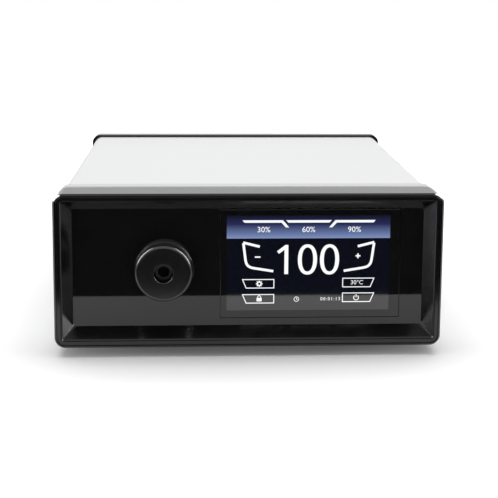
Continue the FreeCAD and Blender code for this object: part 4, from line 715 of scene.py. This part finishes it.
def widened(path, width):
    """The outline of a line of even width along a path."""
    nearby = zip([None] + path, path, path[1:] + [None])
    shifts = [mitred(*corner, width / 2) for corner in nearby]
    left = [point + shift for point, shift in zip(path, shifts)]
    return left + [point - shift for point, shift in zip(path, shifts)][::-1]


class Drawing:
    """White marks on the display, drawn in millimetres from their middle."""

    def __init__(self):
        self.bm = bmesh.new()

    def spot(self, point):
        return Vector((SCREEN.x + MARKS_X + point[0] * MM, PANEL_Y, SCREEN.z + point[1] * MM))

    def raised(self, faces):
        """Gives flat faces the thickness of a layer in front of the image field."""
        made = bmesh.ops.extrude_face_region(self.bm, geom=faces)["geom"]
        moved = [one for one in made if isinstance(one, bmesh.types.BMVert)]
        bmesh.ops.translate(self.bm, verts=moved, vec=(0, -2 * LAYER, 0))

    def flat(self, points):
        return self.bm.faces.new([self.bm.verts.new(self.spot(point)) for point in points])

    def polygon(self, points):
        self.raised([self.flat(points)])

    def stroke(self, points, width, corner=0.0):
        path = softened(points, corner) if corner else [Vector(point) for point in points]
        self.polygon(widened(path, width))

    def band(self, outer, inner, closed=True):
        pairs = [[self.bm.verts.new(self.spot(point)) for point in pair] for pair in zip(outer, inner)]
        following = pairs[1:] + pairs[:closed]
        self.raised([self.bm.faces.new((*one, *two[::-1])) for one, two in zip(pairs, following)])

    def frame(self, points, width):
        """A band inside a polygon whose points run to the left."""
        points = [Vector(point) for point in points]
        nearby = zip(points[-1:] + points, points, points[1:] + points[:1])
        self.band(points, [corner[1] + mitred(*corner, width) for corner in nearby])

    def ring(self, middle, outer, inner, start=0.0, sweep=360.0, square=1.0, steps=36):
        """A band between two ovals, such as a nought; square under one fills their corners."""
        def oval(radii, step):
            turn = math.radians(start + sweep * step / steps)
            across, up = math.cos(turn), math.sin(turn)
            across = math.copysign(abs(across) ** square, across)
            up = math.copysign(abs(up) ** square, up)
            return (middle[0] + radii[0] * across, middle[1] + radii[1] * up)

        closed = sweep == 360.0
        count = steps if closed else steps + 1
        loops = [[oval(size, step) for step in range(count)] for size in (outer, inner)]
        self.band(*loops, closed)

    def figures(self, text, middle, height, spacing=1.0):
        """Plain figures, centred on a place."""
        curve = bpy.data.curves.new("figures", "FONT")
        curve.body = text
        curve.align_x = "CENTER"
        curve.align_y = "CENTER"
        curve.size = height * MM / FIGURE_SHARE
        curve.space_character = spacing
        curve.extrude = LAYER
        curve.resolution_u = 4
        words = bpy.data.objects.new("figures", curve)
        mesh = bpy.data.meshes.new_from_object(words)
        mesh.transform(Matrix.Translation(self.spot(middle)) @ Matrix.Rotation(math.pi / 2, 4, "X"))
        mesh.transform(Matrix.Translation((0, -LAYER, 0)))
        self.bm.from_mesh(mesh)
        bpy.data.objects.remove(words)
        bpy.data.curves.remove(curve)
        bpy.data.meshes.remove(mesh)


def cog_sign(marks, u, v):
    marks.ring((u, v), (2.2, 2.2), (1.1, 1.1), steps=24)
    for tooth in range(8):
        turn = math.radians(45 * tooth)
        across, up = math.cos(turn), math.sin(turn)
        marks.stroke([(u + 2.0 * across, v + 2.0 * up), (u + 3.0 * across, v + 3.0 * up)], 1.0)


def padlock_sign(marks, u, v):
    marks.polygon([(u - 2.3, v + 0.5), (u + 2.3, v + 0.5), (u + 2.3, v - 2.8), (u - 2.3, v - 2.8)])
    marks.ring((u, v + 0.7), (1.8, 2.3), (1.1, 1.6), sweep=180.0, steps=14)


def standby_sign(marks, u, v):
    marks.ring((u, v - 0.2), (2.6, 2.6), (1.9, 1.9), start=125.0, sweep=290.0, steps=28)
    marks.stroke([(u, v + 3.0), (u, v + 0.2)], 0.75)


def clock_sign(marks, u, v):
    marks.ring((u, v), (2.4, 2.4), (1.9, 1.9), steps=28)
    marks.stroke([(u, v + 1.5), (u, v), (u + 1.1, v - 0.5)], 0.5)


def level_bars(marks):
    """Bars over the three percentages."""
    top, low_edge, tip = 40.1, 37.8, 33.4
    outer = ((60.6, top), (23.9, top), (18.2, tip), (21.2, tip), (25.2, low_edge), (58.8, low_edge))
    for side in (-1, 1):
        marks.polygon([(side * u, v) for u, v in outer])
    marks.polygon([(-21.0, top), (20.6, top), (18.4, low_edge), (-18.8, low_edge)])
    for text, u in (("30%", -41.3), ("60%", -0.4), ("90%", 41.4)):
        marks.figures(text, (u, 31.2), 5.1)


def minus_and_plus(marks):
    """The two signs, each beside a bracket in two strokes."""
    corners = ((44.8, 15.6), (59.8, 19.4), (59.7, 18.8), (56.8, -3.4), (32.3, -7.4))
    for side in (-1, 1):
        bracket = [(side * u, v) for u, v in corners]
        marks.stroke(bracket[:2], BRACKET_LINE)
        marks.stroke(bracket[2:], BRACKET_LINE, BRACKET_TURN)
    marks.stroke([(-49.2, 5.9), (-44.1, 5.9)], SIGN_LINE)
    marks.stroke([(42.9, 6.6), (47.4, 6.6)], SIGN_LINE)
    marks.stroke([(45.15, 8.9), (45.15, 4.3)], SIGN_LINE)


def one_hundred(marks):
    stem = ((-18.7, 17.1), (-18.7, -10.2), (-22.2, -10.2), (-22.2, 12.6))
    marks.polygon(stem + ((-27.3, 8.8), (-29.0, 11.2), (-21.4, 17.1)))
    for u in (-1.1, 19.1):
        marks.ring((u, 3.4), (8.8, 14.2), (5.2, 11.3), square=0.9)


def buttons(marks):
    """Four outlined buttons, three with signs and one with the temperature."""
    edges = ((-1, -14.8, -23.6), (-1, -29.0, -37.8), (1, -14.0, -23.0), (1, -28.0, -37.0))
    for side, top, bottom in edges:
        corners = ((60.9, top), (31.2, top), (31.2, bottom), (57.2, bottom))
        marks.frame([(side * u, v) for u, v in corners][::side], BUTTON_LINE)
    cog_sign(marks, -45.0, -19.2)
    padlock_sign(marks, -45.0, -33.0)
    marks.figures("30°C", (44.6, -18.5), 3.9)
    standby_sign(marks, 44.2, -32.6)


def running_time(marks):
    clock_sign(marks, -10.8, -33.9)
    marks.figures("00:01:13", (20.4, -33.9), 3.0, 1.25)


def display_marks(finish):
    marks = Drawing()
    for draw in (level_bars, minus_and_plus, one_hundred, buttons, running_time):
        draw(marks)
    piece = finished(marks.bm, "display_white_marks", finish, weigh=False)


def display_band(finish):
    """The blue band behind the level bars."""
    bm = bmesh.new()
    top = SCREEN.z + LIT_Z + LIT_HEIGHT / 2
    centre = (SCREEN.x + LIT_X, top - BAND_HEIGHT / 2)
    size = (LIT_WIDTH, BAND_HEIGHT, BAND_CORNER)
    thin_plate(bm, size, centre, PANEL_Y - 1.5 * LAYER, PANEL_Y)
    piece = finished(bm, "display_level_band", finish, weigh=False)


def band_light(finish, dots):
    top = SCREEN.z + LIT_Z + LIT_HEIGHT / 2
    fall = finish.spread(finish.along("Z"), top, top - BAND_HEIGHT)
    return finish.node("ValToRGB", {"stops": BAND_SHADES}, {"Fac": fall + dots * 0.02})


# Stage: floor, background, lamps and camera
WHITE = (1, 1, 1, 1)
BLACK = (0, 0, 0, 1)
AMBIENT = 0.42
FLOOR_SIZE = 12.0
FLOOR_TONE = 0.96
# The floor's painted light by distance from the object: weak close to it, where its shade falls, full far
# off
FLOOR_GLOW = ((0.19, 0.07), (0.29, 0.2), (0.45, 0.45), (1.0, 1.0))
# How far in front of the panel the floor still shows in it
CARD_REACH = 0.173
CARD_SIZE = (3.0, 1.4)
CARD_LIFT = 0.001
LAMP_HEIGHT = 1.5
LAMP_SIZE = (1.8, 0.6)
LAMP_AIM = (0, -0.1, 0)
LAMPS = (("rear", 0.2, 9.0), ("front", -0.25, 8.15))
GLOW_SIZE = (0.34, 1.1)
GLOW_SIDE = 0.95
GLOW_OFFSET = Vector((0, -0.1, 0.62))
GLOW_STRENGTH = 24.0
CAMERA_PLACE = Vector((-0.0439, -1.126, 0.3389))
CAMERA_YAW = -2.62
CAMERA_PITCH = 8.47
CAMERA_ROLL = -0.39
CAMERA_LENS = 77.69
CAMERA_SHIFT = -0.22
CAMERA_SENSOR = 36.0
CAMERA_CLIP = (0.05, 50.0)


def seen_directly(nodes):
    """One where a camera, mirror or refracted ray looks, else nought."""
    kinds = ("Is Camera Ray", "Is Glossy Ray", "Is Transmission Ray")
    camera_ray, mirror_ray, refracted_ray = (nodes.node("LightPath", output=kind) for kind in kinds)
    return nodes.maths("MAXIMUM", nodes.maths("MAXIMUM", camera_ray, mirror_ray), refracted_ray)


def cleared(holder):
    """The nodes of a new material or world, with none in it yet."""
    holder.use_nodes = True
    holder.node_tree.nodes.clear()
    return Nodes(holder.node_tree)


def studio_world(ambient):
    """A white background that lights the object less strongly than it looks."""
    world = bpy.data.worlds.new("studio")
    bpy.context.scene.world = world
    nodes = cleared(world)
    glow = nodes.node("Background", values={"Color": WHITE, "Strength": ambient})
    white = nodes.node("Background", values={"Color": WHITE})
    seen = nodes.node("MixShader", values={0: seen_directly(nodes), 1: glow, 2: white})
    nodes.node("OutputWorld", values={"Surface": seen})


def stage_plane(name, width, depth, place, material):
    bm = bmesh.new()
    bmesh.ops.create_grid(bm, x_segments=1, y_segments=1, size=0.5)
    size = Matrix.Diagonal((width, depth, 1, 1))
    bmesh.ops.transform(bm, matrix=Matrix.Translation(place) @ size, verts=bm.verts)
    mesh = bpy.data.meshes.new(name)
    bm.to_mesh(mesh)
    bm.free()
    mesh.materials.append(material)
    plane = bpy.data.objects.new(name, mesh)
    bpy.context.scene.collection.objects.link(plane)
    return plane


def pale_floor(stops):
    """White table top with painted light by distance, weak near the object where its shade falls, keeping
    the far floor as white as the background.
    """
    material = bpy.data.materials.new("pale_floor")
    nodes = cleared(material)
    place = nodes.node("TexCoord", output="Object")
    reach = nodes.node("VectorMath", {"operation": "LENGTH"}, {0: place}, output="Value")
    fall = nodes.node("ValToRGB", {"stops": stops}, {"Fac": reach})
    matt = nodes.node("BsdfDiffuse", values={"Color": rgba(FLOOR_TONE)})
    glow = nodes.node("Emission", values={"Strength": seen_directly(nodes) * fall})
    both = nodes.node("AddShader", values={0: matt, 1: glow})
    nodes.node("OutputMaterial", values={"Surface": both})
    stage_plane("floor", FLOOR_SIZE, FLOOR_SIZE, (0, 0, 0), material)


def mirrored_only(card):
    """Only mirror reflections see the card."""
    card.visible_camera = False
    card.visible_diffuse = False
    card.visible_transmission = False
    card.visible_shadow = False


def dark_card(name, width, depth, place):
    """A black card that only mirror reflections see."""
    matt_black = Finish(name, Base_Color=BLACK, Specular_IOR_Level=0.0, Roughness=1.0)
    mirrored_only(stage_plane(name, width, depth, place, matt_black.material))


def glow_card(name, width, depth, place, aim, strength):
    """A soft light that only mirror reflections see."""
    material = bpy.data.materials.new(name)
    nodes = cleared(material)
    glow = nodes.node("Emission", values={"Strength": strength})
    nodes.node("OutputMaterial", values={"Surface": glow})
    card = stage_plane(name, width, depth, (0, 0, 0), material)
    turn = (Vector(aim) - Vector(place)).to_track_quat("-Z", "Y")
    card.matrix_world = Matrix.Translation(place) @ turn.to_matrix().to_4x4()
    mirrored_only(card)


def area_lamp(name, place, aim, size, power):
    light = bpy.data.lights.new(name, "AREA")
    light.shape = "RECTANGLE"
    light.size, light.size_y = size
    light.energy = power
    lamp = bpy.data.objects.new(name, light)
    lamp.location = place
    lamp.rotation_euler = (Vector(aim) - Vector(place)).to_track_quat("-Z", "Y").to_euler()
    bpy.context.scene.collection.objects.link(lamp)
    return lamp


def camera():
    lens = bpy.data.cameras.new("view")
    lens.lens = CAMERA_LENS
    lens.sensor_width = CAMERA_SENSOR
    lens.shift_y = CAMERA_SHIFT
    lens.clip_start, lens.clip_end = CAMERA_CLIP
    eye = bpy.data.objects.new("view", lens)
    turn = Matrix.Rotation(math.radians(CAMERA_YAW), 4, "Z")
    turn = turn @ Matrix.Rotation(math.radians(90 - CAMERA_PITCH), 4, "X")
    turn = turn @ Matrix.Rotation(math.radians(-CAMERA_ROLL), 4, "Z")
    eye.matrix_world = Matrix.Translation(CAMERA_PLACE) @ turn
    bpy.context.scene.collection.objects.link(eye)
    bpy.context.scene.camera = eye


bpy.context.scene.view_settings.view_transform = "Standard"
camera()
studio_world(AMBIENT)
pale_floor(FLOOR_GLOW)
dark_card("dark_floor_card", *CARD_SIZE, (0, PANEL_Y - CARD_REACH - CARD_SIZE[1] / 2, CARD_LIFT))
for name, y, power in LAMPS:
    soft = area_lamp(name + "_softbox", (0, y, LAMP_HEIGHT), LAMP_AIM, LAMP_SIZE, power)
    soft.visible_glossy = False
for side, name in ((-GLOW_SIDE, "left"), (GLOW_SIDE, "right")):
    place = PORT + GLOW_OFFSET + Vector((side, 0, 0))
    glow_card(name + "_glow", *GLOW_SIZE, place, PORT, GLOW_STRENGTH)

black_bezel = moulded_plastic("bezel_plastic", (0.0035, 0.0035, 0.0038), 0.13, 0.5, 0.003)
black_inset = moulded_plastic("inset_plastic", (0.005, 0.005, 0.0055), 0.1, 0.5, 0.0015, shine=0.4)
panel_black = polished_black("panel_plastic", 0.0075, 0.03)
glass_black = polished_black("screen_glass", 0.0075, 0.02)
cover_white = satin_paint("cover_paint", (0.755, 0.758, 0.761), 0.45, 0.9, 0.01)
knob_black = anodised("knob_black", (0.0025, 0.0025, 0.0028), 0.14)
flange_black = anodised("flange_black", (0.0025, 0.0025, 0.0028), 0.1)
screen_dark = lit_pixels("display_field", 1.0, even_light((0.001, 0.0022, 0.0065)))
screen_band = lit_pixels("display_band", 1.0, band_light)
screen_white = lit_pixels("display_marks", 1.06, even_light((0.97, 0.98, 1.0)))

front_bezel(black_bezel)
rear_bezel(black_bezel)
inset_frame(black_inset)
top_cover(cover_white)
# The collar takes the cover's paint made darker: painted shade on the strip just behind the bezel.
cover_collar(satin_paint("collar_paint_painted_shade", (0.62, 0.623, 0.626), 0.45, 0.9, 0.01))
port_ring(knob_black)
port_flange(flange_black)
touch_glass(glass_black)
lit_area(screen_dark)
display_band(screen_band)
display_marks(screen_white)

# Above this height the boards' nodes take the finish of what stands on them
PARTS_Z = high("main_board").z - 1 * MM
NODE_FINISHES = {
    "panel_plastic": panel_black,
    "display_face": moulded_plastic("display_can", (0.3, 0.3, 0.31), 0.4, 1.0, 0.004),
    "zinc_steel": zinc_plate("zinc_steel"),
    "rear_paint": satin_paint("rear_paint", (0.02, 0.02, 0.022), 0.5, 0.6, 0.04),
    "sleeve_steel": bare_metal("sleeve_steel", (0.07, 0.07, 0.072), 0.3, (1, 6, 1), 0.8),
    "jaw_brass": bare_metal("jaw_brass", (0.72, 0.52, 0.24), 0.28, (1, 5, 1), 0.7),
    "bench_aluminium": bare_metal("bench_aluminium", (0.68, 0.69, 0.7), 0.34, (0.2, 1, 1), 0.5),
    "barrel_black": anodised("barrel_black", (0.02, 0.02, 0.022), 0.4),
    "lens_glass": clear_glass("lens_glass", (0.9, 0.96, 0.95)),
    "spring_steel": bare_metal("spring_steel", (0.5, 0.5, 0.52), 0.24, (6, 1, 1), 0.8),
    "sensor_plastic": moulded_plastic("sensor_plastic", (0.02, 0.02, 0.02), 0.5, 0.4, 0.01),
    "led_yellow": phosphor("led_yellow"),
    "copper_board": bare_metal("copper_board", (0.75, 0.42, 0.26), 0.4, (1, 1, 1), 2.0),
    "sink_aluminium": bare_metal("sink_aluminium", (0.62, 0.63, 0.64), 0.42, (1, 0.2, 1), 0.6),
    "fan_plastic": moulded_plastic("fan_plastic", (0.018, 0.018, 0.019), 0.42, 0.6, 0.015),
    "duct_plastic": moulded_plastic("duct_plastic", (0.05, 0.05, 0.052), 0.5, 0.8, 0.02),
    "guard_chrome": bare_metal("guard_chrome", (0.56, 0.57, 0.59), 0.22, (1, 1, 1), 3.0, 0.002),
    "board_green": circuit_board("board_green", PARTS_Z),
    "ribbon_grey": moulded_plastic("ribbon_grey", (0.45, 0.46, 0.48), 0.5, 1.3, 0.02),
    "inlet_plastic": moulded_plastic("inlet_plastic", (0.016, 0.016, 0.017), 0.46, 0.5, 0.02),
    "contact_nickel": bare_metal("contact_nickel", (0.66, 0.64, 0.58), 0.22, (1, 1, 1), 1.5),
    "fuse_glass": clear_glass("fuse_glass", (0.88, 0.93, 0.92)),
    "rocker_plastic": moulded_plastic("rocker_plastic", (0.014, 0.014, 0.015), 0.14, 0.5, 0.002),
    "screw_steel": bare_metal("screw_steel", (0.11, 0.11, 0.12), 0.32, (1, 1, 1), 1.0),
    "foot_rubber": rubber("foot_rubber"),
    "bezel_plastic": black_bezel,
    "inset_plastic": black_inset,
    "screen_glass": glass_black,
    "cover_paint": cover_white,
    "knob_black": knob_black,
    "flange_black": flange_black,
}


def dress_nodes():
    """Every piece of the source takes the finish of its slot."""
    slots = {part["node"]: part["material_slot"] for part in frame["record"]["subparts"]}
    for name, piece in frame["nodes"].items():
        for place in piece.material_slots:
            place.material = NODE_FINISHES[slots[name]]


dress_nodes()
